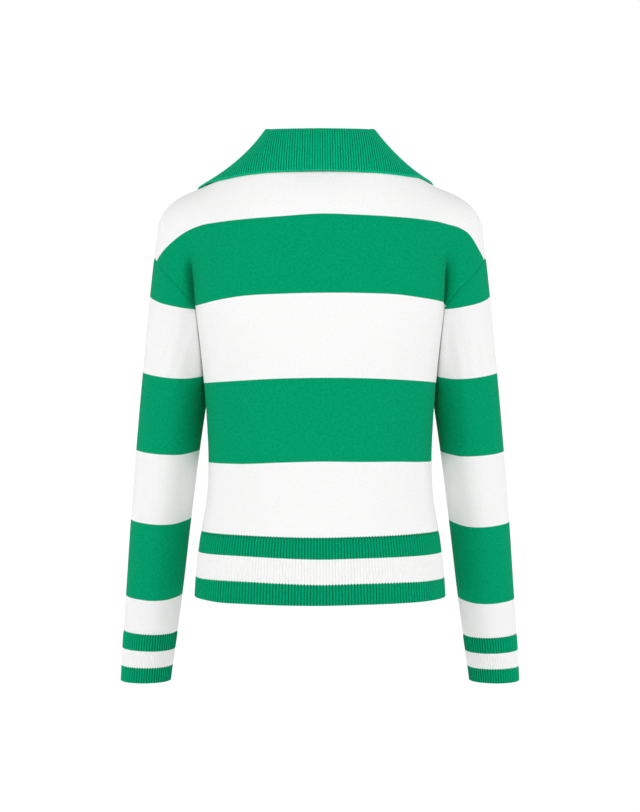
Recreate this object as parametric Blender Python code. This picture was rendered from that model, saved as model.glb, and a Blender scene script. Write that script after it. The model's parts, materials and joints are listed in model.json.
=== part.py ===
"""Half-zip sweater with a wide turned-down rib collar, in the form it has when it is worn.

The garment is hollow: neck, hem and cuffs are open. Its panels are cloth walls that lie on one
smooth form, a torso that blends into two arms at the shoulders. Heights run from the neck base,
X points to the wearer's left and the front faces -Y. Tables are in millimetres.
"""
import math

import bmesh
import bpy
import numpy as np

MM = 0.001
CLOTH_NAME = "half_zip_sweater"

# Driving dimensions of the cloth
KNIT_THICK = 2.0
RIB_THICK = 2.4
TAPE_THICK = 1.2
SEAM_GAP = 0.2
HEM_RIB_TOP = -483.7
HEM_RIB_BOTTOM = -566.0
CUFF_TOP = -620.5
CUFF_BOTTOM = -682.0
UNDERARM = -198.0
CREASE_START = -183.0
BACK_NECK_DEPTH = 56.0
FRONT_NECK_DEPTH = 80.0
NECK_HALF_WIDTH = 68.0
NECK_SPREAD = 29.0
COLLAR_END_TURN = 180 - math.degrees(math.asin(NECK_SPREAD / NECK_HALF_WIDTH))
SHOULDER_SLOPE = math.radians(26.5)
SHOULDER_ROUND = 60.0
SHOULDER_FALL_PER_DEPTH = 0.0022
SLEEVE_CLEARANCE = 1.5

# Driving dimensions of the zip
SLIT_BOTTOM = -246.0
SLIDER_HEIGHT = -160.0
TAPE_WIDTH = 7.0
SLIT_HALF_WIDTH = TAPE_WIDTH + SEAM_GAP + 0.2
TAPE_SINK = 0.4
TAPE_COLLAR_GAP = 0.6
PLATE_GAP = 1.15
PLATE_SIZE = (9.0, 1.6, 15.0)
POST_SIZE = (1.4, 5.0)
POST_RISE = 5.5
BRIDGE_SIZE = (2.2, 4.0, 9.6)
BRIDGE_BAR = 1.3
BRIDGE_LEG = 1.6
PULL_SIZE = (6.5, 1.4, 30.0)
PULL_BAR = 1.4
PULL_WINDOW = (3.4, 8.4)
PULL_HANG = 1.9
STOP_SIZE = (5.0, 1.6, 3.2)
STOP_RISE = 3.0
STOP_GAP = 0.4

GREEN = (0.002, 0.34, 0.15)
SILVER = (0.6, 0.6, 0.6)

# Mesh resolution
SLEEVE_STATIONS = 24
SLEEVE_RINGS = 13
ROWS_BELOW_SLIT = 9
ROWS_BESIDE_SLIT = 2
PANEL_COLUMNS = 10
NECK_COLUMNS = 4
COLLAR_STATIONS_PER_SIDE = 12

# Torso sections: height, half width, depth of the back, depth of the front, squareness
TORSO = (
    (-600, 161.0, 99.0, 101.0, 2.4),
    (-563, 159.7, 98.0, 100.0, 2.4),
    (-540, 158.2, 96.5, 99.0, 2.4),
    (-509, 154.8, 93.5, 97.0, 2.4),
    (-481, 151.0, 90.5, 95.0, 2.4),
    (-442, 145.0, 87.0, 92.0, 2.4),
    (-393, 142.5, 85.5, 91.0, 2.4),
    (-345, 144.2, 87.5, 94.0, 2.4),
    (-288, 148.4, 92.0, 100.0, 2.5),
    (-235, 153.8, 95.0, 104.0, 2.9),
    (-197, 159.0, 95.0, 105.0, 3.2),
    (-150, 164.0, 92.5, 102.0, 3.2),
    (-110, 168.0, 88.5, 96.0, 2.8),
    (-70, 173.0, 83.5, 87.0, 2.4),
    (-30, 177.0, 74.0, 75.0, 2.4),
    (10, 177.0, 60.0, 60.0, 2.4),
)

# Arm sections: height, distance of the centre from the middle, its place in depth, radius
ARM = (
    (-700, 231.0, -66.0, 32.2),
    (-677, 229.0, -64.0, 32.8),
    (-616, 222.7, -60.0, 35.4),
    (-569, 217.6, -56.0, 36.9),
    (-471, 207.8, -46.0, 39.3),
    (-378, 197.6, -36.0, 41.3),
    (-278, 184.4, -22.0, 44.4),
    (-182, 169.6, -8.0, 48.7),
    (-130, 164.0, -3.0, 48.2),
    (-101, 161.0, 0.0, 47.2),
)
BALL_HEIGHT = ARM[-1][0]

# Where torso and arm flow into each other: height, width of the blend
BLEND = (
    (-210, 0.0),
    (-180, 1.0),
    (-160, 3.0),
    (-140, 9.0),
    (-120, 20.0),
    (-90, 30.0),
    (-40, 30.0),
)

# Line inside the sleeve that its stations turn about: height, distance from the middle, depth
SLEEVE_CORE = (
    (-700, 230.0, -66.0),
    (-471, 208.0, -46.0),
    (-345, 196.0, -30.0),
    (-278, 189.0, -17.0),
    (UNDERARM, 186.0, 0.0),
    (-160, 177.0, -1.0),
    (-130, 168.0, -2.0),
)

# Armhole seam: turn about the sleeve's middle line from its outer side, height
ARMHOLE = (
    (0, -131.0),
    (25, -136.5),
    (50, -150.0),
    (80, -166.0),
    (115, -187.5),
    (124, -197.0),
    (130, UNDERARM),
    (180, UNDERARM),
)

# Shoulder seam from the neck to the armhole: distance from the middle, height
SHOULDER = (
    (68.0, 0.0),
    (105.0, -17.0),
    (143.6, -35.0),
    (163.0, -44.0),
    (182.0, -56.0),
    (198.0, -75.0),
    (207.6, -104.0),
)

# Opening of the front along the zip: height, half width between the panel's edges
SLIT = (
    (SLIT_BOTTOM - 10, SLIT_HALF_WIDTH),
    (SLIDER_HEIGHT - 8, SLIT_HALF_WIDTH),
    (SLIDER_HEIGHT, SLIT_HALF_WIDTH + 0.3),
    (SLIDER_HEIGHT + 10, SLIT_HALF_WIDTH + 3.0),
    (SLIDER_HEIGHT + 35, SLIT_HALF_WIDTH + 9.0),
    (-95, SLIT_HALF_WIDTH + 15.0),
    (-50, NECK_SPREAD),
    (0, NECK_SPREAD + 4.0),
)

# Collar sections from the middle of the back to the front end: turn about the neck from the
# back, then three points (out to the side, in depth, height): top of the fold, middle and edge
# of the turned-down part. The neck seam itself follows the neckline.
COLLAR = (
    (0, (0, 50, 26.3), (0, 63, 0), (0, 73, -29)),
    (32, (37, 43, 26.8), (44, 58, -1), (64, 69, -31)),
    (62, (60.5, 24, 29), (84, 41, -5), (113, 51, -35)),
    (90, (68.5, -1, 31.5), (103, 3, -7), (155, 0, -43)),
    (116, (62, -35, 16), (98, -46, -30), (144, -50, -75)),
    (138, (47, -63, -14), (82, -76, -56), (126, -74, -112)),
    (COLLAR_END_TURN, (32, -82, -36), (60, -91, -78), (94, -88, -132)),
)
COLLAR_FOLD_RADIUS = 4.5
COLLAR_CLEARANCE = 1.4
COLLAR_INSET = 1.8
RIGHT_COLLAR_REACH = 0.93


def metres(points):
    """Millimetres to metres."""
    return np.asarray(points, float) * MM


def read(table, at):
    """Smooth values of a table's columns at the given values of its first column."""
    rows = np.array(sorted(table), float)
    knots = rows[:, 0]
    place = np.clip(np.asarray(at, float), knots[0], knots[-1])
    slopes = np.gradient(rows[:, 1:], knots, axis=0)
    low = np.clip(np.searchsorted(knots, place, side="right") - 1, 0, len(knots) - 2)
    span = knots[low + 1] - knots[low]
    t = ((place - knots[low]) / span)[..., None]
    span = span[..., None]
    start = (1 + 2 * t) * (1 - t) ** 2 * rows[low, 1:] + t * (1 - t) ** 2 * span * slopes[low]
    end = t * t * (3 - 2 * t) * rows[low + 1, 1:] + t * t * (t - 1) * span * slopes[low + 1]
    return np.moveaxis(start + end, -1, 0)


def smooth_min(a, b, width):
    """The lower of two distances, with a round blend of the given width."""
    width = np.maximum(width, 1e-6)
    near = np.maximum(width - np.abs(a - b), 0) / width
    return np.minimum(a, b) - near * near * width / 4


def smooth_max(a, b, width):
    """The higher of two distances, with a round blend of the given width."""
    return -smooth_min(-a, -b, width)


# --- The form that the cloth lies on -----------------------------------------------------------

def torso_distance(p):
    """Distance from the torso's surface, negative inside it."""
    x, y, z = p[..., 0], p[..., 1], p[..., 2]
    half, back, front, power = read(TORSO, z)
    depth = np.where(y > 0, back, front)
    reach = np.abs(x / half) ** power + np.abs(y / depth) ** power
    reach = np.maximum(reach, 1e-9) ** (1 / power)
    side = (1 - 1 / reach) * np.hypot(x, y)
    beyond_neck = np.maximum(np.abs(x) - NECK_HALF_WIDTH, 0)
    roof = -math.tan(SHOULDER_SLOPE) * beyond_neck - SHOULDER_FALL_PER_DEPTH * y * y
    above = (z - roof) * math.cos(SHOULDER_SLOPE)
    return smooth_max(side, above, SHOULDER_ROUND)


def arm_distance(p):
    """Distance from the arm's surface on either side, negative inside it."""
    centre, depth, radius = read(ARM, p[..., 2])
    rise = np.maximum(p[..., 2] - BALL_HEIGHT, 0)
    away = np.sqrt((np.abs(p[..., 0]) - centre) ** 2 + (p[..., 1] - depth) ** 2 + rise ** 2)
    return away - radius


def body_distance(p):
    """Distance from the whole form, with the arms blended into the shoulders."""
    width = read(BLEND, p[..., 2])[0]
    return smooth_min(torso_distance(p), arm_distance(p), width)


def panel_distance(p):
    """Distance from a body panel's form: below the underarm the arms are no part of it."""
    return np.where(p[..., 2] > UNDERARM, body_distance(p), torso_distance(p))


def arm_side_distance(p):
    """Distance from the form on the arm's side of the crease that ends at the underarm."""
    return np.where(p[..., 2] > CREASE_START, body_distance(p), arm_distance(p))


def sleeve_distance(p):
    """Distance from the sleeve: the arm, pressed flat where it meets the torso's side."""
    below = UNDERARM - p[..., 2]
    clear = np.interp(below, (0, 30), (SEAM_GAP, SLEEVE_CLEARANCE))
    rounding = np.interp(below, (0, 50), (0.5, 10.0))
    pressed = smooth_max(arm_distance(p), clear - torso_distance(p), rounding)
    return np.where(below >= 0, pressed, arm_side_distance(p))


def slope_of(distance, p):
    """Direction in which a distance grows, by central differences."""
    step = 0.2
    rise = []
    for axis in range(3):
        shift = np.zeros(3)
        shift[axis] = step
        rise.append(distance(p + shift) - distance(p - shift))
    return np.stack(rise, axis=-1) / (2 * step)


def normal_of(distance, p):
    """Unit normal of a form at the given points."""
    slope = slope_of(distance, p)
    return slope / np.maximum(np.linalg.norm(slope, axis=-1, keepdims=True), 1e-9)


def settle(distance, p, steps=14):
    """Moves points onto a form, along its own slope."""
    for _ in range(steps):
        slope = slope_of(distance, p)
        size = np.maximum((slope * slope).sum(axis=-1, keepdims=True), 0.05)
        p = p - 0.9 * distance(p)[..., None] * slope / size
    return p


# --- Outlines of the panels --------------------------------------------------------------------

def sleeve_point(distance, turn, height):
    """Point of the left sleeve at a turn, in degrees from its outer side, and a height."""
    turn, height = np.broadcast_arrays(np.asarray(turn, float), np.asarray(height, float))
    core = np.stack([*read(SLEEVE_CORE, height), height], axis=-1)
    angle = np.radians(turn)
    way = np.stack([np.cos(angle), np.sin(angle), np.zeros_like(angle)], axis=-1)
    low = np.full(turn.shape, 4.0)
    high = np.full(turn.shape, 75.0)
    for _ in range(32):
        middle = (low + high) / 2
        inside = distance(core + way * middle[..., None]) < 0
        low = np.where(inside, middle, low)
        high = np.where(inside, high, middle)
    return core + way * low[..., None]


def armhole_height(turn):
    """Height of the armhole seam at a turn about the sleeve."""
    return np.interp(np.abs(turn), [row[0] for row in ARMHOLE], [row[1] for row in ARMHOLE])


def armhole_distance(p):
    """Distance from the opening of the armhole, which ends on the torso's side at the underarm."""
    at_wall = np.maximum(arm_distance(p), -torso_distance(p))
    return np.where(p[..., 2] <= UNDERARM, at_wall, arm_side_distance(p))


def armhole_edge(turns, side):
    """Edge of a panel along the armhole, on its back (side 1) or its front (side -1)."""
    turns = np.asarray(turns, float)
    height = armhole_height(turns)
    height += np.where(height > UNDERARM, SEAM_GAP, 0)
    edge = sleeve_point(armhole_distance, side * turns, height)
    at_seam = np.isclose(turns % 180, 0)
    edge[:, 1] += np.where(at_seam, side * SEAM_GAP / 2, 0)
    return edge


def settle_sideways(distance, p):
    """Moves points onto a form along X only."""
    p = p.copy()
    for _ in range(20):
        slope = slope_of(distance, p)[..., 0]
        p[..., 0] -= distance(p) / np.where(np.abs(slope) > 0.2, slope, 0.2)
    return p


def shoulder_edge(count, side, corner):
    """Edge of a panel along the shoulder seam, from the neck to the armhole's top."""
    rows = np.array(SHOULDER)
    length = np.append(0, np.cumsum(np.hypot(*np.diff(rows, axis=0).T)))
    at = np.linspace(0, length[-1] * 1.12, count)[:-1]
    line = np.stack([np.interp(at, length, rows[:, 0]), np.zeros(count - 1),
                     np.interp(at, length, rows[:, 1])], axis=-1)
    line[at > length[-1]] = (line[at > length[-1]] + corner) / 2
    line = settle(body_distance, line)
    line[:, 1] = side * SEAM_GAP / 2
    return np.vstack([line, corner])


def neckline(turns):
    """Neck seam of the left side at turns about the neck, in degrees from the back."""
    angle = np.radians(turns)
    depth = np.where(np.cos(angle) > 0, BACK_NECK_DEPTH, FRONT_NECK_DEPTH)
    line = np.stack([NECK_HALF_WIDTH * np.sin(angle), depth * np.cos(angle),
                     np.zeros_like(angle)], axis=-1)
    for _ in range(30):
        slope = slope_of(body_distance, line)[..., 2]
        line[..., 2] -= body_distance(line) / np.maximum(slope, 0.3)
    return line


def neck_edge(count, side):
    """Edge of a panel round the neck, from its middle to the shoulder seam."""
    start = 0.0 if side > 0 else COLLAR_END_TURN
    line = neckline(np.linspace(start, 90, count))
    line[-1, 1] = side * SEAM_GAP / 2
    return line


def coons(left, right, bottom, top, rise):
    """Points between four edges; rise is the share of the top edge's shape in each row."""
    u = np.linspace(0, 1, len(bottom))[None, :, None]
    v = np.asarray(rise)[:, None, None]
    across = (1 - u) * left[:, None] + u * right[:, None]
    along = (1 - v) * bottom[None] + v * top[None]
    corners = ((1 - u) * (1 - v) * bottom[0] + u * (1 - v) * bottom[-1]
               + (1 - u) * v * top[0] + u * v * top[-1])
    return across + along - corners


def hem_arc(count, side, height):
    """Half of a level line round the torso, from its middle to the side seam."""
    half, back, front, power = read(TORSO, height)
    depth = back if side > 0 else front
    angle = np.linspace(0, math.pi / 2, count)
    arc = np.stack([half * np.sin(angle) ** (2 / power),
                    side * depth * np.cos(angle) ** (2 / power),
                    np.full(count, float(height))], axis=-1)
    arc[-1] = (half, side * SEAM_GAP / 2, height)
    return arc


def row_heights(top):
    """Heights of a panel's rows on its middle line: below the underarm, and above it."""
    lower = np.append(
        np.linspace(HEM_RIB_TOP + SEAM_GAP / 2, SLIT_BOTTOM, ROWS_BELOW_SLIT + 1),
        np.linspace(SLIT_BOTTOM, UNDERARM, ROWS_BESIDE_SLIT + 1)[1:-1])
    return lower, np.linspace(UNDERARM, top, SLEEVE_STATIONS // 2 + 1)


def half_panel(side):
    """Grid of points over the left half of the back (side 1) or the front (side -1)."""
    turns = np.linspace(180, 0, SLEEVE_STATIONS // 2 + 1)
    neck = neck_edge(NECK_COLUMNS + 1, side)
    lower, upper = row_heights(neck[0, 2])
    side_seam = np.stack([np.full(len(lower), 150.0), np.full(len(lower), side * SEAM_GAP / 2),
                          lower], axis=-1)
    side_seam = settle_sideways(torso_distance, side_seam)
    right = np.vstack([side_seam, armhole_edge(turns, side)])
    shoulder = shoulder_edge(PANEL_COLUMNS - NECK_COLUMNS + 1, side, right[-1])
    top = np.vstack([neck[:-1], shoulder])
    bottom = hem_arc(PANEL_COLUMNS + 1, side, lower[0])
    heights = np.append(lower, upper)
    left = np.stack([np.zeros(len(heights)), np.full(len(heights), side * 90.0), heights], axis=-1)
    if side < 0:
        left[:, 0] = read(SLIT, heights)[0]
        left[-1] = top[0]
        bottom[:, 0] += SLIT_HALF_WIDTH * np.linspace(1, 0, len(bottom)) ** 2
        bottom = settle(torso_distance, bottom)
        bottom[:, 2] = lower[0]
    for _ in range(24):
        slope = slope_of(panel_distance, left)[..., 1]
        left[..., 1] -= panel_distance(left) / np.where(np.abs(slope) > 0.3, slope, side * 0.3)
    left[-1] = top[0]
    share = np.clip((heights - UNDERARM) / (heights[-1] - UNDERARM), 0, 1)
    rise = share * share * (3 - 2 * share)
    grid = coons(left, right, bottom, top, rise)
    inner = settle(panel_distance, grid)
    grid[1:-1, 1:-1] = inner[1:-1, 1:-1]
    return grid


# --- Meshes ------------------------------------------------------------------------------------

def material(name, colour, rough, metal=0.0):
    """Principled material in one colour."""
    made = bpy.data.materials.new(name)
    made.use_nodes = True
    shader = made.node_tree.nodes["Principled BSDF"]
    shader.inputs["Base Color"].default_value = (*colour, 1.0)
    shader.inputs["Roughness"].default_value = rough
    shader.inputs["Metallic"].default_value = metal
    return made


def new_object(name, bm, skin, home):
    """Object from a bmesh, in a collection, with its own material."""
    mesh = bpy.data.meshes.new(name)
    bmesh.ops.recalc_face_normals(bm, faces=bm.faces[:])
    bm.to_mesh(mesh)
    bm.free()
    mesh.materials.append(skin)
    mesh.shade_smooth()
    mesh.set_sharp_from_angle(angle=math.radians(40))
    made = bpy.data.objects.new(name, mesh)
    home.objects.link(made)
    return made


def grid_mesh(points, closed=False):
    """Open bmesh grid over an array of points (rows, columns, 3); closed joins its side edges."""
    rows, columns = points.shape[:2]
    bm = bmesh.new()
    bmesh.ops.create_grid(bm, x_segments=columns - 1, y_segments=rows - 1, size=1.0)
    bm.verts.ensure_lookup_table()
    for vert, place in zip(bm.verts, metres(points).reshape(-1, 3)):
        vert.co = place
    if closed:
        bmesh.ops.remove_doubles(bm, verts=bm.verts[:], dist=1e-6)
    return bm


def make_wall(bm, thick, distance=None):
    """Gives an open surface a thickness inward, along the form's normals or the mesh's own."""
    bmesh.ops.triangulate(bm, faces=bm.faces[:], quad_method="FIXED")
    bm.normal_update()
    outer = bm.verts[:]
    places = np.array([vert.co[:] for vert in outer])
    ways = np.array([vert.normal[:] for vert in outer])
    if distance is not None:
        form_ways = normal_of(distance, places / MM)
        agree = np.sign((ways * form_ways).sum(axis=1).mean())
        ways = form_ways
        if agree < 0:
            bmesh.ops.reverse_faces(bm, faces=bm.faces[:])
    inner = {}
    for vert, place, way in zip(outer, places, ways):
        inner[vert] = bm.verts.new(place - way * thick * MM)
    rim = [edge for edge in bm.edges if edge.is_boundary]
    for face in bm.faces[:]:
        bm.faces.new([inner[vert] for vert in reversed(face.verts)])
    for edge in rim:
        loop = edge.link_loops[0]
        first, second = loop.vert, loop.link_loop_next.vert
        bm.faces.new([second, first, inner[first], inner[second]])
    bmesh.ops.triangulate(bm, faces=bm.faces[:])
    return bm


def mirrored(half):
    """Both halves of a grid whose first column lies on the middle plane."""
    other = half[:, :0:-1] * np.array([-1.0, 1.0, 1.0])
    return np.concatenate([other, half], axis=1)


def flipped(points):
    """The same points on the wearer's other side."""
    return points * np.array([-1.0, 1.0, 1.0])


# --- The pieces --------------------------------------------------------------------------------

def build_back(home):
    """Back panel, from the hem rib to the neck, over the shoulders to the armholes."""
    bm = grid_mesh(mirrored(half_panel(1)))
    make_wall(bm, KNIT_THICK, panel_distance)
    return new_object("back", bm, material("back", GREEN, 0.9), home)


def build_front(home):
    """Front panel with the slit for the zip down its middle."""
    half = half_panel(-1)
    middle = half[:, :1].copy()
    middle[..., 0] = 0
    half = np.concatenate([middle, half], axis=1)
    grid = mirrored(half)
    bm = grid_mesh(grid)
    gap = [face for face in bm.faces
           if face.calc_center_median().z > SLIT_BOTTOM * MM
           and any(abs(vert.co.x) < 1e-6 for vert in face.verts)]
    bmesh.ops.delete(bm, geom=gap, context="FACES")
    make_wall(bm, KNIT_THICK, panel_distance)
    return new_object("front", bm, material("front", GREEN, 0.9), home)


def sleeve_grid(heights_from_top, top, bottom):
    """Rings of the left sleeve between two heights that may change round it."""
    turns = np.linspace(0, 360, SLEEVE_STATIONS + 1)
    around = np.minimum(turns, 360 - turns)
    start = top(around)
    share = np.asarray(heights_from_top)[:, None]
    heights = start[None] * (1 - share) + bottom * share
    return sleeve_point(sleeve_distance, np.broadcast_to(turns, heights.shape), heights)


def build_sleeves(home):
    """Both sleeves, from the armhole to the cuff."""
    shares = np.linspace(0, 1, SLEEVE_RINGS + 1) ** 1.15
    left = sleeve_grid(shares, lambda turn: armhole_height(turn) - SEAM_GAP,
                       CUFF_TOP + SEAM_GAP / 2)
    for name, points in (("sleeve_left", left), ("sleeve_right", flipped(left))):
        bm = grid_mesh(points, closed=True)
        make_wall(bm, KNIT_THICK, sleeve_distance)
        new_object(name, bm, material(name, GREEN, 0.9), home)


def build_cuffs(home):
    """Both rib cuffs."""
    left = sleeve_grid((0.0, 0.5, 1.0), lambda turn: np.full(turn.shape, CUFF_TOP - SEAM_GAP / 2),
                       CUFF_BOTTOM)
    for name, points in (("cuff_left", left), ("cuff_right", flipped(left))):
        bm = grid_mesh(points, closed=True)
        make_wall(bm, RIB_THICK, sleeve_distance)
        new_object(name, bm, material(name, GREEN, 0.85), home)


def build_hem_ribs(home):
    """Rib bands at the hem of the back and the front."""
    heights = np.linspace(HEM_RIB_TOP - SEAM_GAP / 2, HEM_RIB_BOTTOM, 3)
    for name, side in (("hem_rib_back", 1), ("hem_rib_front", -1)):
        half = np.stack([hem_arc(PANEL_COLUMNS + 1, side, height) for height in heights])
        bm = grid_mesh(mirrored(half))
        make_wall(bm, RIB_THICK, torso_distance)
        new_object(name, bm, material(name, GREEN, 0.85), home)


def collar_sections(count):
    """Collar sections on one side: neck seam, fold, middle and edge of each."""
    turns = np.linspace(0, COLLAR_END_TURN, count)
    table = [(turn, *fold, *middle, *edge) for turn, fold, middle, edge in COLLAR]
    points = np.moveaxis(read(table, turns), 0, -1).reshape(count, 3, 3)
    seam = neckline(turns)
    inward = seam * np.array([1.0, 1.0, 0.0])
    inward /= np.linalg.norm(inward, axis=-1, keepdims=True)
    seam -= inward * (COLLAR_INSET + RIB_THICK)
    return np.concatenate([seam[:, None], points], axis=1)


def collar_profile(section):
    """Points across one collar section: up the stand, over the fold and down to the edge."""
    neck, fold, middle, edge = section
    out = edge - neck
    out[2] = 0
    out = out / np.linalg.norm(out)
    up = np.array([0, 0, 1.0])
    centre = fold - up * COLLAR_FOLD_RADIUS
    turn = [centre + COLLAR_FOLD_RADIUS * (math.sin(a) * up - math.cos(a) * out)
            for a in np.radians((0, 60, 120, 180))]
    stand = [neck + (turn[0] - neck) * share for share in (0, 0.35, 0.7)]
    fall = [(1 - t) ** 2 * turn[3] + 2 * t * (1 - t) * (2 * middle - (turn[3] + edge) / 2)
            + t * t * edge for t in np.linspace(0, 1, 7)[1:]]
    return np.array(stand + turn + fall)


def collar_grid():
    """Grid of the whole collar, stations round the neck by points across it."""
    left = collar_sections(COLLAR_STATIONS_PER_SIDE + 1)
    right = left.copy()
    reach = np.interp(np.arange(len(left)), (0, len(left) / 2, len(left) - 1),
                      (1.0, RIGHT_COLLAR_REACH, 1.0))[:, None]
    right[:, 3] = right[:, 1] + (right[:, 3] - right[:, 1]) * reach
    sides = []
    for sections in (left, right):
        grid = np.stack([collar_profile(section) for section in sections])
        sides.append(lay_collar(grid))
    return np.concatenate([flipped(sides[1])[::-1], sides[0][1:]], axis=0)


def lay_collar(grid):
    """Lifts the turned-down part clear of the shoulders."""
    fall = grid[:, 7:]
    for _ in range(10):
        short = np.maximum(COLLAR_CLEARANCE + RIB_THICK - body_distance(fall), 0)
        fall = fall + short[..., None] * normal_of(body_distance, fall)
    grid[:, 7:] = fall
    return grid


def build_collar(home):
    """Rib collar: a short stand, the fold and the wide turned-down part."""
    bm = grid_mesh(collar_grid())
    make_wall(bm, RIB_THICK)
    return new_object("collar", bm, material("collar", GREEN, 0.85), home)


def front_depth(height):
    """Place in depth of the front's surface on the middle plane."""
    spot = np.array([[0.0, -90.0, height]])
    for _ in range(20):
        spot[:, 1] -= torso_distance(spot) / np.minimum(slope_of(torso_distance, spot)[:, 1], -0.3)
    return float(spot[0, 1])


def tape_grid():
    """Left zip tape: up the slit's edge, then along the collar's front end."""
    lower, upper = row_heights(neckline([COLLAR_END_TURN])[0, 2])
    heights = np.concatenate([lower[-ROWS_BESIDE_SLIT:], upper[:-1]])
    heights[0] += SEAM_GAP
    edge = read(SLIT, heights)[0] - SEAM_GAP
    slit = []
    for out in (edge, np.maximum(edge - TAPE_WIDTH, SEAM_GAP / 2)):
        line = np.stack([out, np.full(len(heights), -90.0), heights], axis=-1)
        for _ in range(24):
            slope = slope_of(panel_distance, line)[..., 1]
            line[..., 1] -= (panel_distance(line) + TAPE_SINK) / np.minimum(slope, -0.3)
        slit.append(line)
    collar = collar_grid()
    end, before = collar[-1], collar[-2]
    way = (end - before) / np.linalg.norm(end - before, axis=-1, keepdims=True)
    rim = [end + way * TAPE_COLLAR_GAP, end + way * (TAPE_COLLAR_GAP + TAPE_WIDTH)]
    return np.stack([np.vstack([slit[0], rim[0]]), np.vstack([slit[1], rim[1]])], axis=1)


def build_tapes(home):
    """Both zip tapes."""
    left = tape_grid()
    for name, points in (("zip_tape_left", left[:, ::-1]), ("zip_tape_right", flipped(left))):
        bm = grid_mesh(points)
        make_wall(bm, TAPE_THICK)
        new_object(name, bm, material(name, GREEN, 0.8), home)


def box(name, size, centre, home, skin=None):
    """Box with rounded edges, in millimetres."""
    bm = bmesh.new()
    bmesh.ops.create_cube(bm, size=1.0)
    for vert in bm.verts:
        vert.co = metres(np.array(vert.co[:]) * size)
    bmesh.ops.bevel(bm, geom=bm.edges[:], offset=0.25 * MM, segments=1, affect="EDGES",
                    profile=0.5, material=-1)
    made = new_object(name, bm, skin or material(name, SILVER, 0.3, 1.0), home)
    made.location = metres(centre)
    return made


def combine(body, tool, operation):
    """Joins a hidden tool to a body, or cuts it away."""
    tool.hide_render = True
    tool.display_type = "WIRE"
    change = body.modifiers.new(tool.name, "BOOLEAN")
    change.operation = operation
    change.solver = "EXACT"
    change.object = tool


def build_slider(home, tools):
    """Zip slider: a plate on each side of the tapes, a post between them and a bridge."""
    skin = material("zip_slider", SILVER, 0.3, 1.0)
    face = front_depth(SLIDER_HEIGHT)
    front = face + TAPE_SINK - PLATE_GAP - PLATE_SIZE[1] / 2
    rear = face + TAPE_SINK + TAPE_THICK + PLATE_GAP + PLATE_SIZE[1] / 2
    body = box("zip_slider", PLATE_SIZE, (0, front, SLIDER_HEIGHT), home, skin)
    parts = [
        ("plate_rear", PLATE_SIZE, (0, rear, SLIDER_HEIGHT)),
        ("post", (POST_SIZE[0], rear - front, POST_SIZE[1]),
         (0, (rear + front) / 2, SLIDER_HEIGHT + POST_RISE)),
    ]
    outside = front - PLATE_SIZE[1] / 2
    width, rise, length = BRIDGE_SIZE
    for name, side in (("leg_upper", 1), ("leg_lower", -1)):
        parts.append((name, (width, rise + 0.4, BRIDGE_LEG),
                      (0, outside + 0.4 - (rise + 0.4) / 2,
                       SLIDER_HEIGHT + side * (length - BRIDGE_LEG) / 2)))
    parts.append(("bridge_bar", (width, BRIDGE_BAR, length),
                  (0, outside - rise + BRIDGE_BAR / 2, SLIDER_HEIGHT)))
    for name, size, centre in parts:
        combine(body, box(name, size, centre, tools, skin), "UNION")
    return outside


def build_pull(home, tools, outside):
    """Pull tab, hung on the slider's bridge; its origin is on the bar it swings about."""
    bar_depth = outside - (BRIDGE_SIZE[1] - BRIDGE_BAR) / 2
    swing = np.array([0.0, bar_depth, SLIDER_HEIGHT - PULL_HANG])
    width, thick, length = PULL_SIZE
    bm = bmesh.new()
    bmesh.ops.create_cube(bm, size=1.0)
    for vert in bm.verts:
        place = np.array(vert.co[:]) * PULL_SIZE
        place[2] += PULL_BAR / 2 - length / 2
        vert.co = metres(place)
    corners = [edge for edge in bm.edges
               if abs(edge.verts[0].co.y - edge.verts[1].co.y) > thick / 2 * MM]
    bmesh.ops.bevel(bm, geom=corners, offset=1.6 * MM, segments=3, affect="EDGES", profile=0.5,
                    material=-1)
    pull = new_object("zip_pull", bm, material("zip_pull", SILVER, 0.3, 1.0), home)
    pull.location = metres(swing)
    window = (PULL_WINDOW[0], thick * 3, PULL_WINDOW[1])
    centre = swing - np.array([0, 0, PULL_BAR / 2 + PULL_WINDOW[1] / 2])
    combine(pull, box("pull_window", window, centre, tools), "DIFFERENCE")
    hole = (PULL_WINDOW[0], thick * 3, PULL_WINDOW[0])
    centre = swing - np.array([0, 0, length - PULL_BAR / 2 - PULL_WINDOW[0]])
    combine(pull, box("pull_hole", hole, centre, tools), "DIFFERENCE")


def build_stop(home):
    """Stop at the lower end of the zip."""
    height = SLIT_BOTTOM + STOP_RISE
    depth = front_depth(height) + TAPE_SINK - STOP_GAP - STOP_SIZE[1] / 2
    box("zip_stop", STOP_SIZE, (0, depth, height), home)


def main():
    """Builds every piece."""
    for thing in list(bpy.data.objects):
        bpy.data.objects.remove(thing, do_unlink=True)
    home = bpy.data.collections.new(CLOTH_NAME)
    bpy.context.scene.collection.children.link(home)
    build_back(home)
    build_front(home)
    build_sleeves(home)
    build_cuffs(home)
    build_hem_ribs(home)
    build_collar(home)
    tools = bpy.data.collections.new("cutters")
    bpy.context.scene.collection.children.link(tools)
    build_tapes(home)
    outside = build_slider(home, tools)
    build_pull(home, tools, outside)
    build_stop(home)


main()
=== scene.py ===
# %% [markdown]
# # A half-zip sweater with a wide turned-down rib collar
# The sweater is knitted in wide stripes and stands in the form that it has when it is worn, with
# neck, hem and cuffs open. The imported model already holds every piece at its true size and place,
# so the lesson starts by loading it.

# %% Load the imported model
import json
import math

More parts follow.
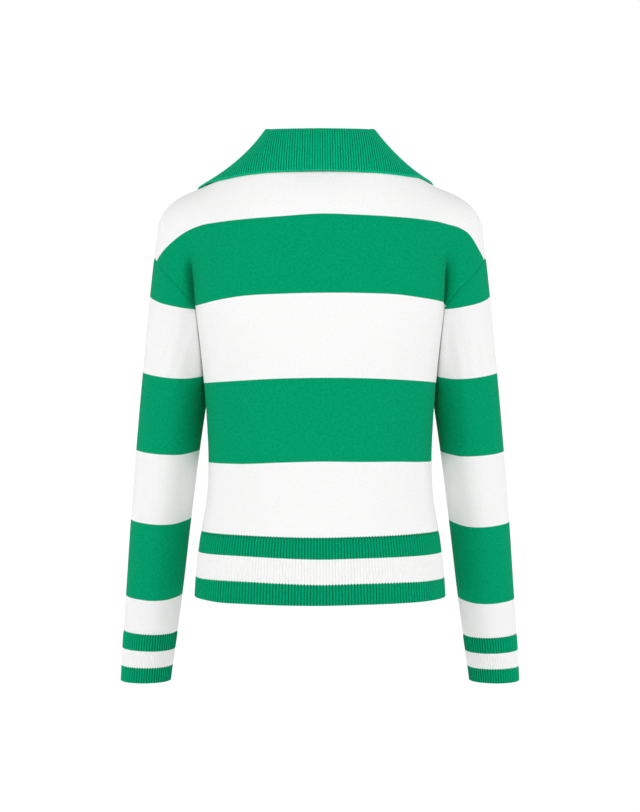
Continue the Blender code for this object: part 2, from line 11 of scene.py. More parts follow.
import bmesh
import bpy
import mathutils
import numpy as np
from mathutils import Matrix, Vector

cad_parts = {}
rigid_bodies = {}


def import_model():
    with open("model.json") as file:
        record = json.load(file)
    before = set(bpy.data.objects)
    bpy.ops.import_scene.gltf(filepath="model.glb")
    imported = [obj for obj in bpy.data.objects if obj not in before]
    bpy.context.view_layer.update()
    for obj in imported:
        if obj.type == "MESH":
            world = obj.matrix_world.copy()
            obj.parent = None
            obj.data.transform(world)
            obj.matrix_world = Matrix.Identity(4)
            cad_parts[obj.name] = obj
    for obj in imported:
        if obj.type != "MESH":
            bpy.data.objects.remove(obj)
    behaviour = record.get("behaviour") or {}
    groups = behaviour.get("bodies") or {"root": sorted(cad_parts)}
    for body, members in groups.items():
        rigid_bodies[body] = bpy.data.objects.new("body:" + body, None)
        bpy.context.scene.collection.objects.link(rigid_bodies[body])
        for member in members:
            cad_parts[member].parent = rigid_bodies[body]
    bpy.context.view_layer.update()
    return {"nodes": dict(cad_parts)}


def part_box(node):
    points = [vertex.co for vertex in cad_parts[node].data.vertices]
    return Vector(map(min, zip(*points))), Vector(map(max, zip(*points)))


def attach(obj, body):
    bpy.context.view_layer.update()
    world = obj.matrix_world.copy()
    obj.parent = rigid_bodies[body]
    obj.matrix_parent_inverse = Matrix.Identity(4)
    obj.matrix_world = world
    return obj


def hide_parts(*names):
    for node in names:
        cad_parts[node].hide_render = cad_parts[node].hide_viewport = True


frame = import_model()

MM = 0.001
print("nodes:", ", ".join(sorted(frame["nodes"])))

# %% [markdown]
# ## Driving dimensions
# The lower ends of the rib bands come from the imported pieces. The other values are the cloth's
# own: how thick it is, how deep the neck is cut and how the shoulders fall. Everything here is in
# millimetres, because a knitter thinks in them, and becomes metres when a mesh is made.

# %% Driving dimensions
KNIT_THICK = 2.0
RIB_THICK = 2.4
SEAM_GAP = 0.1
HEM_BOTTOM = round(float(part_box("hem_rib_back")[0][2]) / MM)
CUFF_BOTTOM = round(float(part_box("cuff_left")[0][2]) / MM)
HEM_TOP = -483.7
CUFF_TOP = -620.5
UNDERARM = -198.0
CREASE_START = -183.0
BACK_NECK_DEPTH = 56.0
FRONT_NECK_DEPTH = 80.0
NECK_HALF_WIDTH = 68.0
NECK_SPREAD = 29.0
COLLAR_END_TURN = 180 - math.degrees(math.asin(NECK_SPREAD / NECK_HALF_WIDTH))
SHOULDER_SLOPE = math.radians(26.5)
SHOULDER_ROUND = 60.0
SHOULDER_FALL_PER_DEPTH = 0.0022
SLEEVE_CLEARANCE = 0.1
SLEEVE_ROUNDING = ((0, 20, 60, 160), (0.5, 4.5, 6.5, 9.0))  # below the underarm, rounding
SLIT_BOTTOM = -246.0
SLIDER_HEIGHT = -160.0
TAPE_WIDTH = 7.0
TAPE_THICK = 1.2
SLIT_HALF_WIDTH = TAPE_WIDTH + SEAM_GAP + 0.2
print("hem rib", HEM_TOP, "to", HEM_BOTTOM, "mm, cuffs", CUFF_TOP, "to", CUFF_BOTTOM, "mm")

# %% [markdown]
# ## The form that the cloth lies on
# Worn cloth follows a body, so the wearer's outline is written down as a few sections: a torso,
# whose cross-section is a rounded rectangle, and an arm of round sections. Sculpting by hand
# could give the same form, but a table can be read at any height, so every panel, however fine
# its mesh, lies on exactly the same surface.

# %% Sections of the torso and the arm
TORSO = (  # height, half width, depth of the back, depth of the front, squareness
    (-600, 161.0, 99.0, 101.0, 2.4),
    (-563, 159.7, 98.0, 100.0, 2.4),
    (-540, 158.2, 96.5, 99.0, 2.4),
    (-509, 154.8, 93.5, 97.0, 2.4),
    (-481, 151.0, 90.5, 95.0, 2.4),
    (-442, 145.0, 87.0, 92.0, 2.4),
    (-393, 142.5, 85.5, 91.0, 2.4),
    (-345, 144.2, 87.5, 94.0, 2.4),
    (-288, 148.4, 92.0, 100.0, 2.5),
    (-235, 153.8, 95.0, 104.0, 2.9),
    (-197, 159.0, 95.0, 105.0, 3.2),
    (-150, 164.0, 92.5, 102.0, 3.2),
    (-110, 168.0, 88.5, 96.0, 2.8),
    (-70, 173.0, 83.5, 87.0, 2.4),
    (-30, 177.0, 74.0, 75.0, 2.4),
    (10, 177.0, 60.0, 60.0, 2.4),
)
ARM = (  # height, distance of the centre from the middle, its place in depth, radius
    (-700, 231.0, -66.0, 32.2),
    (-677, 229.0, -64.0, 32.8),
    (-616, 222.7, -60.0, 35.4),
    (-569, 217.6, -56.0, 36.9),
    (-471, 207.8, -46.0, 39.3),
    (-378, 197.6, -36.0, 41.3),
    (-278, 184.4, -22.0, 44.4),
    (-182, 169.6, -8.0, 48.7),
    (-130, 164.0, -3.0, 48.2),
    (-101, 161.0, 0.0, 47.2),
)
BALL_HEIGHT = ARM[-1][0]
BLEND = (  # height, width of the round blend between torso and arm
    (-210, 0.0), (-180, 1.0), (-160, 3.0), (-140, 9.0), (-120, 20.0), (-90, 30.0), (-40, 30.0),
)
print(len(TORSO), "torso sections,", len(ARM), "arm sections")

# %% [markdown]
# A table is read with a smooth curve through its rows. Each form is a distance: zero on the
# surface, negative inside. Two distances join with a round blend, the way an armpit joins a
# chest, and a point can be moved onto the form along its slope.

# %% Reading a table smoothly
def between(knots, place):
    """Number of the knot before each place, the width of its span and the share run of it."""
    low = np.clip(np.searchsorted(knots, place, side="right") - 1, 0, len(knots) - 2)
    span = knots[low + 1] - knots[low]
    return low, span, (place - knots[low]) / span


def curve(t, span, values, slopes):
    """Smooth value inside a span, from the values and the slopes at its two ends."""
    start = (1 + 2 * t) * (1 - t) ** 2 * values[0] + t * (1 - t) ** 2 * span * slopes[0]
    end = t * t * (3 - 2 * t) * values[1] + t * t * (t - 1) * span * slopes[1]
    return start + end


def read(table, at):
    """Smooth values of a table's columns at the given values of its first column."""
    rows = np.array(sorted(table), float)
    knots, values = rows[:, 0], rows[:, 1:]
    slopes = np.gradient(values, knots, axis=0)
    low, span, t = between(knots, np.clip(np.asarray(at, float), knots[0], knots[-1]))
    ends = (values[low], values[low + 1]), (slopes[low], slopes[low + 1])
    return np.moveaxis(curve(t[..., None], span[..., None], *ends), -1, 0)


def smoothstep(at, low, high):
    """Share that rises softly from 0 at low to 1 at high."""
    t = np.clip((at - low) / (high - low), 0, 1)
    return t * t * (3 - 2 * t)


def smooth_min(a, b, width):
    """The lower of two distances, with a round blend of the given width."""
    width = np.maximum(width, 1e-6)
    near = np.maximum(width - np.abs(a - b), 0) / width
    return np.minimum(a, b) - near * near * width / 4


def smooth_max(a, b, width):
    """The higher of two distances, with a round blend of the given width."""
    return -smooth_min(-a, -b, width)


print("arm radius at the elbow:", round(float(read(ARM, -378.0)[2]), 1), "mm")

# %% Distances from the torso, the arm and the whole form
def torso_distance(p):
    """Distance from the torso's surface, negative inside it."""
    x, y, z = p[..., 0], p[..., 1], p[..., 2]
    half, back, front, power = read(TORSO, z)
    depth = np.where(y > 0, back, front)
    reach = np.abs(x / half) ** power + np.abs(y / depth) ** power
    reach = np.maximum(reach, 1e-9) ** (1 / power)
    side = (1 - 1 / reach) * np.hypot(x, y)
    beyond_neck = np.maximum(np.abs(x) - NECK_HALF_WIDTH, 0)
    roof = -math.tan(SHOULDER_SLOPE) * beyond_neck - SHOULDER_FALL_PER_DEPTH * y * y
    above = (z - roof) * math.cos(SHOULDER_SLOPE)
    return smooth_max(side, above, SHOULDER_ROUND)


def arm_distance(p):
    """Distance from the arm's surface on either side, negative inside it."""
    centre, depth, radius = read(ARM, p[..., 2])
    rise = np.maximum(p[..., 2] - BALL_HEIGHT, 0)
    away = np.sqrt((np.abs(p[..., 0]) - centre) ** 2 + (p[..., 1] - depth) ** 2 + rise ** 2)
    return away - radius


def body_distance(p):
    """Distance from the whole form, with the arms blended into the shoulders."""
    width = read(BLEND, p[..., 2])[0]
    return smooth_min(torso_distance(p), arm_distance(p), width)


def panel_distance(p):
    """Distance from a body panel's form: below the underarm the arms are no part of it."""
    return np.where(p[..., 2] > UNDERARM, body_distance(p), torso_distance(p))


def arm_side_distance(p):
    """Distance from the form on the arm's side of the crease that ends at the underarm."""
    return np.where(p[..., 2] > CREASE_START, body_distance(p), arm_distance(p))


def sleeve_distance(p):
    """Distance from the sleeve: the arm, pressed flat where it meets the torso's side."""
    below = UNDERARM - p[..., 2]
    clear = np.interp(below, (0, 15), (SEAM_GAP, SLEEVE_CLEARANCE))
    rounding = np.interp(below, *SLEEVE_ROUNDING)
    pressed = smooth_max(arm_distance(p), clear - torso_distance(p), rounding)
    return np.where(below >= 0, pressed, arm_side_distance(p))


# %% Moving points onto a form
SLOPE_STEP = 0.2


def points(*columns):
    """Points from their columns; one number stands for a whole column."""
    return np.stack(np.broadcast_arrays(*columns), axis=-1)


def unit(vectors):
    """Vectors brought to length one."""
    return vectors / np.maximum(np.linalg.norm(vectors, axis=-1, keepdims=True), 1e-9)


def slope_of(distance, p):
    """Direction in which a distance grows, by central differences."""
    shifts = SLOPE_STEP * np.eye(3)
    rise = [distance(p + shift) - distance(p - shift) for shift in shifts]
    return np.stack(rise, axis=-1) / (2 * SLOPE_STEP)


def normal_of(distance, p):
    """Unit normal of a form at the given points."""
    return unit(slope_of(distance, p))


def settle(distance, p, steps=12):
    """Moves points onto a form, along its own slope."""
    for _ in range(steps):
        slope = slope_of(distance, p)
        size = np.maximum((slope * slope).sum(axis=-1, keepdims=True), 0.05)
        p = p - 0.9 * distance(p)[..., None] * slope / size
    return p


def settle_along(distance, p, axis, least, steps=24):
    """Moves points onto a form along one axis only; least is the smallest slope trusted."""
    p = p.copy()
    for _ in range(steps):
        slope = slope_of(distance, p)[..., axis]
        p[..., axis] -= distance(p) / np.where(np.abs(slope) > abs(least), slope, least)
    return p


def lengths(grid, axis):
    """Distance run along an axis of a grid or a line, from its start."""
    steps = np.linalg.norm(np.diff(grid, axis=axis), axis=-1)
    first = np.zeros_like(np.take(steps, [0], axis=axis))
    return np.concatenate([first, np.cumsum(steps, axis=axis)], axis=axis)


def lengths_along(line):
    """Length of a line of points."""
    return np.linalg.norm(np.diff(line, axis=0), axis=1).sum()


def read_line(at, run, line):
    """Points of a line at distances along it, where run holds the distances of its points."""
    return points(*(np.interp(at, run, column) for column in line.T))


chest = settle(body_distance, np.array([[0.0, 90.0, -300.0]]))[0]
print("middle of the back lies", round(float(chest[1]), 1), "mm behind the neck's centre")

# %% [markdown]
# ## Where each knitted row runs
# The stripes are rows of stitches, and rows don't stay level when the sweater is worn: over the
# shoulders the cloth hangs down, so a stripe that is level at the middle drops towards the arm.
# A table says how far each row drops across the body. The same drop shapes the hem and the
# colour changes, so a stripe and an edge that are one row on the real sweater stay one row here.

# %% Drop of the rows across the body
DROP_AT = (-209, -202, -188, -175, -162, -155, -150, -125, -100, -50,
           0, 50, 100, 125, 150, 175, 188, 202, 209)
DROP = (  # height of the row at the middle, then its drop at each distance across
    (-84, 52, 41, 21.2, 13.5, 10.2, 8.7, 7.6, 4.9, 3.5, 1.3,
     0, 3.2, 6.5, 8.6, 12, 23, 32.5, 46, 55.5),
    (-183, 20, 20, 20, 20, 16.5, 8.8, 8, 5, 2.1, 0.2, 0, 1.2, 4, 7.6, 12.2, 14, 15, 16, 17),
    (-287, 6, 6, 6, 6, 5.5, 5.1, 4.9, 3.4, 2.1, 0.3, 0, 0.9, 3.3, 4.6, 5.6, 6.5, 7, 7, 7),
    (-390, 2, 2, 2, 2, 1.9, 1.85, 1.8, 1.5, 0.7, 0.5, 0, 1.4, 3.4, 3.2, 2.8, 2.5, 2.5, 2.5, 2.5),
    (-484, -4, -4, -4, -4, -3.9, -3.85, -3.8, -3.2, -2.2, -1,
     0, -0.8, -2.2, -2.7, -3.4, -4, -4, -4, -4),
    (-540, -2, -2, -2, -2, -1.9, -1.85, -1.8, -1.3, -1.5, -1.1,
     0, -1.5, -3.1, -3.1, -3, -3, -3, -3, -3),
    (-566, -2.5, -2.5, -2.5, -2.5, -2.4, -2.35, -2.3, -1.7, -1.5, -0.9,
     0, -0.3, -1, -1, -2.4, -2.5, -2.5, -2.5, -2.5),
)
SLEEVE_RISE_AT = (-30, 0, 30, 60, 90, 120, 150, 180, 210)
SLEEVE_RISE = (  # height of the row, then its rise at each turn about the sleeve
    (-196, 9.5, 14, 9.5, 4.3, 0, -3.6, -4, -4, -4),
    (-286, 5.6, 7.5, 5.6, 2.6, 0, -0.5, 2.6, 5, 2.6),
    (-384, 4.2, 6, 4.2, 1.8, 0, -0.2, 3.1, 5.5, 3.1),
    (-575, 3.3, 4.6, 3.3, 1.6, 0, 0.6, 3.4, 5.5, 3.4),
    (-620, 2, 2.8, 2, 1, 0, -0.4, 0, 1, 0),
)
FRONT_RISE = 8.0
SLEEVE_SHIFT = 2.1


def read_across(table, knots, at_row, at_column):
    """Smooth value of a two-way table at a row value and a column value."""
    at_row, at_column = np.broadcast_arrays(np.asarray(at_row, float), at_column)
    values = np.moveaxis(read(table, at_row), 0, -1)
    knots = np.array(knots, float)
    slopes = np.gradient(values, knots, axis=-1)
    low, span, t = between(knots, np.clip(at_column, knots[0], knots[-1]))
    ends = [[np.take_along_axis(numbers, index[..., None], axis=-1)[..., 0]
             for index in (low, low + 1)] for numbers in (values, slopes)]
    return curve(t, span, *ends)


def row_of(p):
    """Height at the middle of the row that passes through each point of the body."""
    row = p[..., 2].copy()
    for _ in range(10):
        row = p[..., 2] + read_across(DROP, DROP_AT, row, p[..., 0])
    return row


def height_of_row(row, across):
    """Height of a row at a distance across the body."""
    return row - read_across(DROP, DROP_AT, row, across)


def sleeve_row_of(turn, height, side):
    """Height at the sleeve's back of the row that passes through each point of a sleeve."""
    around = np.minimum(turn, 360 - turn)
    forward = np.where(turn > 180, np.sin(np.radians(around)), 0)
    forward = forward * smoothstep(-height, -UNDERARM, 300)
    rise = read_across(SLEEVE_RISE, SLEEVE_RISE_AT, height, around) + FRONT_RISE * forward
    return height - rise - side * SLEEVE_SHIFT * smoothstep(-height, 200, 600)


edge_rows = height_of_row(np.full(3, -84.3), np.array([0.0, 120.0, 180.0]))
print("first stripe at 0, 120 and 180 mm across:", np.round(edge_rows, 1))

# %% [markdown]
# ## Outlines of the panels
# The sweater is cut like most knitwear: a back, a front with a slit for the zip, and two sleeves
# set in at a dropped armhole. Each panel is bounded by curves: the hem, the side seam and the
# armhole, the shoulder seam and the neck. A Coons surface fills such a frame of four curves
# evenly, and its points are then moved onto the form, so they keep the seams exactly.

# %% Curves that bound the panels
SLEEVE_CORE = (  # line inside the sleeve: height, distance from the middle, depth
    (-700, 230.0, -66.0),
    (-471, 208.0, -46.0),
    (-345, 196.0, -30.0),
    (-278, 189.0, -17.0),
    (UNDERARM, 186.0, 0.0),
    (-160, 177.0, -1.0),
    (-130, 168.0, -2.0),
)
ARMHOLE = (  # turn about the sleeve's middle line from its outer side, height
    (0, -132.0), (10, -132.5), (20, -134.5), (30, -138.5), (40, -143.5), (50, -149.5),
    (60, -155.0), (70, -160.0), (80, -165.5), (90, -170.5), (100, -176.0), (110, -182.5),
    (118, -188.0), (124, -193.0), (127.5, -196.5), (129.5, UNDERARM), (180, UNDERARM),
)
SLEEVE_SEARCH = (4.0, 75.0)  # least and most distance of the form from the sleeve's core line
SHOULDER = (  # distance from the middle, height
    (68.0, 0.0), (105.0, -17.0), (143.6, -35.0), (163.0, -44.0), (182.0, -56.0),
    (198.0, -75.0), (207.6, -104.0),
)
PAST_SHOULDER = 1.02  # share of the seam that is laid out, a little past its end
SHOULDER_END = 4.0  # last piece of the seam, which runs straight to the armhole
SLIT = (  # height, half width between the front's edges
    (SLIT_BOTTOM - 10, SLIT_HALF_WIDTH),
    (SLIDER_HEIGHT - 8, SLIT_HALF_WIDTH),
    (SLIDER_HEIGHT, SLIT_HALF_WIDTH + 0.3),
    (SLIDER_HEIGHT + 10, SLIT_HALF_WIDTH + 3.0),
    (SLIDER_HEIGHT + 35, SLIT_HALF_WIDTH + 9.0),
    (-95, SLIT_HALF_WIDTH + 15.0),
    (-50, NECK_SPREAD),
    (0, NECK_SPREAD + 4.0),
)


def sleeve_point(distance, turn, height):
    """Point of the left sleeve at a turn, in degrees from its outer side, and a height."""
    turn, height = np.broadcast_arrays(np.asarray(turn, float), np.asarray(height, float))
    core = points(*read(SLEEVE_CORE, height), height)
    angle = np.radians(turn)
    way = points(np.cos(angle), np.sin(angle), 0.0)
    low, high = (np.full(turn.shape, reach) for reach in SLEEVE_SEARCH)
    for _ in range(28):
        middle = (low + high) / 2
        inside = distance(core + way * middle[..., None]) < 0
        low = np.where(inside, middle, low)
        high = np.where(inside, high, middle)
    return core + way * low[..., None]


def armhole_height(turn):
    """Height of the armhole seam at a turn about the sleeve."""
    return np.interp(np.abs(turn), [row[0] for row in ARMHOLE], [row[1] for row in ARMHOLE])


def armhole_distance(p):
    """Distance from the opening of the armhole, which ends on the torso's side at the underarm."""
    at_wall = np.maximum(arm_distance(p), -torso_distance(p))
    return np.where(p[..., 2] <= UNDERARM, at_wall, arm_side_distance(p))


def armhole_edge(turns, side):
    """Edge of a panel along the armhole, on its back (side 1) or its front (side -1)."""
    height = armhole_height(turns)
    height = height + np.where(height > UNDERARM, SEAM_GAP, 0)
    edge = sleeve_point(armhole_distance, side * turns, height)
    at_seam = np.isclose(turns % 180, 0)
    edge[:, 1] += np.where(at_seam, side * SEAM_GAP / 2, 0)
    return edge


def shoulder_edge(count, side, corner):
    """Edge of a panel along the shoulder seam, from the neck to the armhole's top."""
    seam = np.array([(across, 0.0, height) for across, height in SHOULDER])
    run = lengths(seam, 0)
    line = read_line(run[-1] * PAST_SHOULDER * towards_sleeve(count)[:-1], run, seam)
    line = settle(body_distance, line)
    past = line[:, 2] < corner[2] + SHOULDER_END
    down = np.array([0, 0, SHOULDER_END])
    line[past] = corner + down * np.linspace(1, 0, past.sum() + 1)[:-1, None]
    line = settle(body_distance, line)
    line[:, 1] = side * SEAM_GAP / 2
    return np.vstack([line, corner])


def neckline(turns):
    """Neck seam of the left side at turns about the neck, in degrees from the back."""
    angle = np.radians(turns)
    depth = np.where(np.cos(angle) > 0, BACK_NECK_DEPTH, FRONT_NECK_DEPTH)
    line = points(NECK_HALF_WIDTH * np.sin(angle), depth * np.cos(angle), 0.0)
    return settle_along(body_distance, line, axis=2, least=0.3, steps=30)


neck_seam = neckline(np.linspace(0, COLLAR_END_TURN, 60))
print("neck seam:", round(2 * float(lengths_along(neck_seam))), "mm round")

# %% A panel between its four curves
START_SIDE = 150.0  # rough places, from which points settle on the form
START_DEPTH = 90.0
PANEL_COLUMNS = 80
NECK_COLUMNS = 32
ROWS_BELOW_SLIT = 90
ROWS_BESIDE_SLIT = 18
ROWS_ABOVE = 72
RELAXING = ((8, 150), (4, 60), (2, 30), (1, 12))  # every how many lines, and in how many steps
SLEEVE_CROWDING = 1.35


def coons(left, right, bottom, top, rise):
    """Points between four edges; rise is the share of the top edge's shape in each row."""
    u = np.linspace(0, 1, len(bottom))[None, :, None]
    v = np.asarray(rise)[:, None, None]
    across = (1 - u) * left[:, None] + u * right[:, None]
    along = (1 - v) * bottom[None] + v * top[None]
    corners = ((1 - u) * (1 - v) * bottom[0] + u * (1 - v) * bottom[-1]
               + (1 - u) * v * top[0] + u * v * top[-1])
    return across + along - corners


def resampled(grid, rows, columns):
    """Grid with another number of lines, read between its own lines."""
    for axis, count in ((0, rows), (1, columns)):
        at = np.linspace(0, grid.shape[axis] - 1, count)
        low = np.minimum(at.astype(int), grid.shape[axis] - 2)
        share = np.expand_dims(at - low, [other for other in (0, 1, 2) if other != axis])
        grid = np.take(grid, low, axis) * (1 - share) + np.take(grid, low + 1, axis) * share
    return grid


def lay_on_form(frame_grid):
    """Spreads the inside of a grid evenly over the form, first coarsely and then finer."""
    rows, columns = frame_grid.shape[:2]
    grid = frame_grid
    for coarser, steps in RELAXING:
        size = ((rows - 1) // coarser + 1, (columns - 1) // coarser + 1)
        edges = resampled(frame_grid, *size)
        edges[1:-1, 1:-1] = resampled(grid, *size)[1:-1, 1:-1]
        grid = edges
        for _ in range(steps):
            around = grid[:-2, 1:-1] + grid[2:, 1:-1] + grid[1:-1, :-2] + grid[1:-1, 2:]
            grid[1:-1, 1:-1] = settle(panel_distance, around / 4, steps=1)
    grid[1:-1, 1:-1] = settle(panel_distance, grid)[1:-1, 1:-1]
    return grid


def towards_sleeve(count):
    """Shares from 0 to 1 that lie closer together towards the sleeve, where the cloth folds."""
    return 1 - (1 - np.linspace(0, 1, count)) ** SLEEVE_CROWDING


def hem_arc(shares, side, height):
    """Half of a level line round the torso, from its middle to the side seam."""
    half, back, front, power = read(TORSO, height)
    depth = back if side > 0 else front
    angle = np.linspace(0, math.pi / 2, 8 * len(shares))
    arc = points(half * np.sin(angle) ** (2 / power), side * depth * np.cos(angle) ** (2 / power),
                 height)
    run = lengths(arc, 0)
    line = read_line(run[-1] * shares, run, arc)
    line[-1] = (half, side * SEAM_GAP / 2, height)
    return line


def panel_rows(top):
    """Heights of a panel's rows on its middle line: below the underarm, and above it."""
    lower = np.append(
        np.linspace(HEM_TOP + SEAM_GAP / 2, SLIT_BOTTOM, ROWS_BELOW_SLIT + 1),
        np.linspace(SLIT_BOTTOM, UNDERARM, ROWS_BESIDE_SLIT + 1)[1:-1])
    return lower, np.linspace(UNDERARM, top, ROWS_ABOVE + 1)


def half_panel(side):
    """Grid of points over the left half of the back (side 1) or the front (side -1)."""
    start = 0.0 if side > 0 else COLLAR_END_TURN
    neck = neckline(np.linspace(start, 90, NECK_COLUMNS + 1))
    neck[-1, 1] = side * SEAM_GAP / 2
    lower, upper = panel_rows(neck[0, 2])
    side_seam = points(START_SIDE, side * SEAM_GAP / 2, lower)
    side_seam = settle_along(torso_distance, side_seam, axis=0, least=0.2)
    right = np.vstack([side_seam, armhole_edge(np.linspace(180, 0, ROWS_ABOVE + 1), side)])
    shoulder = shoulder_edge(PANEL_COLUMNS - NECK_COLUMNS + 1, side, right[-1])
    top = np.vstack([neck[:-1], shoulder])
    bottom = hem_arc(towards_sleeve(PANEL_COLUMNS + 1), side, lower[0])
    heights = np.append(lower, upper)
    left = points(0.0, side * START_DEPTH, heights)
    if side < 0:
        left[:, 0] = read(SLIT, heights)[0]
        left[-1] = top[0]
        bottom[:, 0] += SLIT_HALF_WIDTH * np.linspace(1, 0, len(bottom)) ** 2
        bottom = settle(torso_distance, bottom)
        bottom[:, 2] = lower[0]
    left = settle_along(panel_distance, left, axis=1, least=side * 0.3)
    left[-1] = top[0]
    rise = smoothstep(heights, UNDERARM, heights[-1])
    return lay_on_form(coons(left, right, bottom, top, rise))


def mirrored(half):
    """Both halves of a grid whose first column lies on the middle plane."""
    return np.concatenate([half[:, :0:-1] * np.array([-1.0, 1.0, 1.0]), half], axis=1)


hem_line = hem_arc(np.linspace(0, 1, PANEL_COLUMNS), 1, HEM_TOP)
print("half the back is", round(float(lengths_along(hem_line))), "mm wide at the hem rib")

# %% [markdown]
# ## From a grid of points to a wall of cloth
# A knitted panel is a thin wall with two faces. Solidify could thicken one surface, but ribs
# and rolled edges need the two faces shaped apart. So both faces are grids of the same size:
# bmesh makes the outer one, its copy becomes the inner one, and the rims are bridged. Each point
# also keeps its place in the knitting: across and along in a UV map, and its row's height.

# %% Cloth walls
MERGE_DISTANCE = 2e-6


def finer_edges(grid, ends=((0, 0), (0, -1), (1, 0), (1, -1))):
    """Adds two lines close to the chosen edges of a grid, for seams and rolled edges."""
    for axis, end in ends:
        lines = np.moveaxis(grid, axis, 0)
        lines = lines if end == 0 else lines[::-1]
        edge, inside = lines[0], lines[1]
        added = [edge + (inside - edge) * share for share in (0.2, 0.5)]
        lines = np.concatenate([edge[None], added, lines[1:]])
        grid = np.moveaxis(lines if end == 0 else lines[::-1], 0, axis)
    return grid


def face_grid(grid, knit, row):
    """Open grid over points, with its place in the knitting: a UV map in metres and its row."""
    rows, columns = grid.shape[:2]
    bm = bmesh.new()
    bmesh.ops.create_grid(bm, x_segments=columns - 1, y_segments=rows - 1, size=1.0)
    stitch = bm.loops.layers.uv.new("knit")
    level = bm.verts.layers.float.new("row")
    number = bm.verts.layers.int.new("point")
    bm.verts.index_update()
    values = zip(bm.verts, grid.reshape(-1, 3) * MM, row.reshape(-1) * MM)
    for vert, place, height in values:
        vert.co = place
        vert[level] = height
        vert[number] = vert.index
    flat = (knit * MM).reshape(-1, 2).tolist()
    for face in bm.faces:
        for loop in face.loops:
            loop[stitch].uv = flat[loop.vert.index]
    return bm


def rim_edges(faces):
    """Boundary edges of some faces, as a list of separate loops of edges."""
    left = dict.fromkeys(edge for face in faces for edge in face.edges if edge.is_boundary)
    loops = []
    while left:
        loop = [left.popitem()[0]]
        for edge in loop:
            for other in [near for vert in edge.verts for near in vert.link_edges]:
                if other in left:
                    del left[other]
                    loop.append(other)
        loops.append(loop)
    return sorted(loops, key=lambda loop: max(edge.verts[0].co.z for edge in loop))


def verts_of(faces):
    """Vertices of some faces, each once and always in the same order."""
    return list(dict.fromkeys(vert for face in faces for vert in face.verts))


def cloth_wall(outer, inner, knit, row, is_open=None):
    """Closed wall of cloth between two grids of points; is_open picks faces to leave out."""
    bm = face_grid(outer, knit, row)
    if is_open:
        bmesh.ops.delete(bm, geom=[face for face in bm.faces if is_open(face)], context="FACES")
    first = bm.faces[:]
    copy = bmesh.ops.duplicate(bm, geom=first)
    second = [item for item in copy["geom"] if isinstance(item, bmesh.types.BMFace)]
    places = (inner * MM).reshape(-1, 3)
    number = bm.verts.layers.int["point"]
    for vert in verts_of(second):
        vert.co = places[vert[number]]
    bm.verts.layers.int.remove(number)
    bmesh.ops.reverse_faces(bm, faces=second)
    sheets = (first, second)
    for faces in sheets:
        bmesh.ops.remove_doubles(bm, verts=verts_of(faces), dist=MERGE_DISTANCE)
    kept = [[face for face in faces if face.is_valid] for faces in sheets]
    for pair in zip(*(rim_edges(faces) for faces in kept)):
        bmesh.ops.bridge_loops(bm, edges=[edge for loop in pair for edge in loop])
    bmesh.ops.recalc_face_normals(bm, faces=bm.faces[:])
    if bm.calc_volume(signed=True) < 0:
        bmesh.ops.reverse_faces(bm, faces=bm.faces[:])
    return bm


def new_object(name, bm, skin):
    """Object from a bmesh, with its material."""
    mesh = bpy.data.meshes.new(name)
    bm.to_mesh(mesh)
    bm.free()
    mesh.materials.append(skin)
    made = bpy.data.objects.new(name, mesh)
    bpy.context.scene.collection.objects.link(made)
    return made


def new_piece(name, bm, skin, packed):
    """Piece of cloth that rides on the sweater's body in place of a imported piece."""
    piece = new_object(name, bm, skin)
    piece.data.shade_smooth()
    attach(piece, "sweater")
    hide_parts(packed)
    faces = piece.data.polygons
    area = sum(face.area for face in faces) / 2
    print(f"{name}: {sum(len(f.vertices) - 2 for f in faces)} triangles, {area:.4f} m2")
    return piece


def side_flip(side):
    """Factors that turn the left side's points into those of side 1 (left) or -1 (right)."""
    return np.array([side, 1.0, 1.0])


# %% [markdown]
# ## Yarn and stitches as material
# The whole sweater is one yarn in two colours, so its materials share their building blocks as
# node groups: where a stripe begins and ends, the V-shaped stitches of plain knit, the painted
# shade in the grooves between ribs and the faint unevenness of spun yarn. A picture could do this,
# but nodes stay sharp at any distance and follow the cloth, because they read the knit's own
# coordinates.

# %% Helpers for node trees
def node(tree, kind, settings=None, **inputs):
    """Node with its settings and its inputs: a socket is linked, a value is set."""
    made = tree.nodes.new(kind)
    for name, value in (settings or {}).items():
        setattr(made, name, value)
    for name, value in inputs.items():
        key = int(name[1:]) if name[0] == "n" and name[1:].isdigit() else name.replace("_", " ")
        if isinstance(value, bpy.types.NodeSocket):
            tree.links.new(value, made.inputs[key])
        else:
            made.inputs[key].default_value = value
    return made


def calc(tree, operation, *values):
    """Result of one Math node."""
    inputs = {f"n{place}": value for place, value in enumerate(values)}
    return node(tree, "ShaderNodeMath", {"operation": operation}, **inputs).outputs[0]


def ease(tree, value, low, high):
    """Share that rises softly from 0 to 1 while a value goes from low to high."""
    made = node(tree, "ShaderNodeMapRange", {"interpolation_type": "SMOOTHSTEP"},
                Value=value, From_Min=low, From_Max=high)
    return made.outputs[0]


def mixed(tree, share, first, second, blend="MIX"):
    """Mix of two colours."""
    made = node(tree, "ShaderNodeMix", {"data_type": "RGBA", "blend_type": blend},
                n0=share, n6=first, n7=second)
    return made.outputs[2]


def new_group(name, inputs, outputs):
    """Node group with float inputs, given with their defaults, and float outputs."""
    tree = bpy.data.node_groups.new(name, "ShaderNodeTree")
    for label, value in inputs.items():
        kind = "NodeSocketVector" if value is None else "NodeSocketFloat"
        socket = tree.interface.new_socket(label, in_out="INPUT", socket_type=kind)
        if value is not None:
            socket.default_value = value
    for label in outputs:
        tree.interface.new_socket(label, in_out="OUTPUT", socket_type="NodeSocketFloat")
    return tree, tree.nodes.new("NodeGroupInput").outputs, tree.nodes.new("NodeGroupOutput").inputs


def use_group(tree, group, **inputs):
    """A node group placed in a tree."""
    return node(tree, "ShaderNodeGroup", {"node_tree": group}, **inputs).outputs


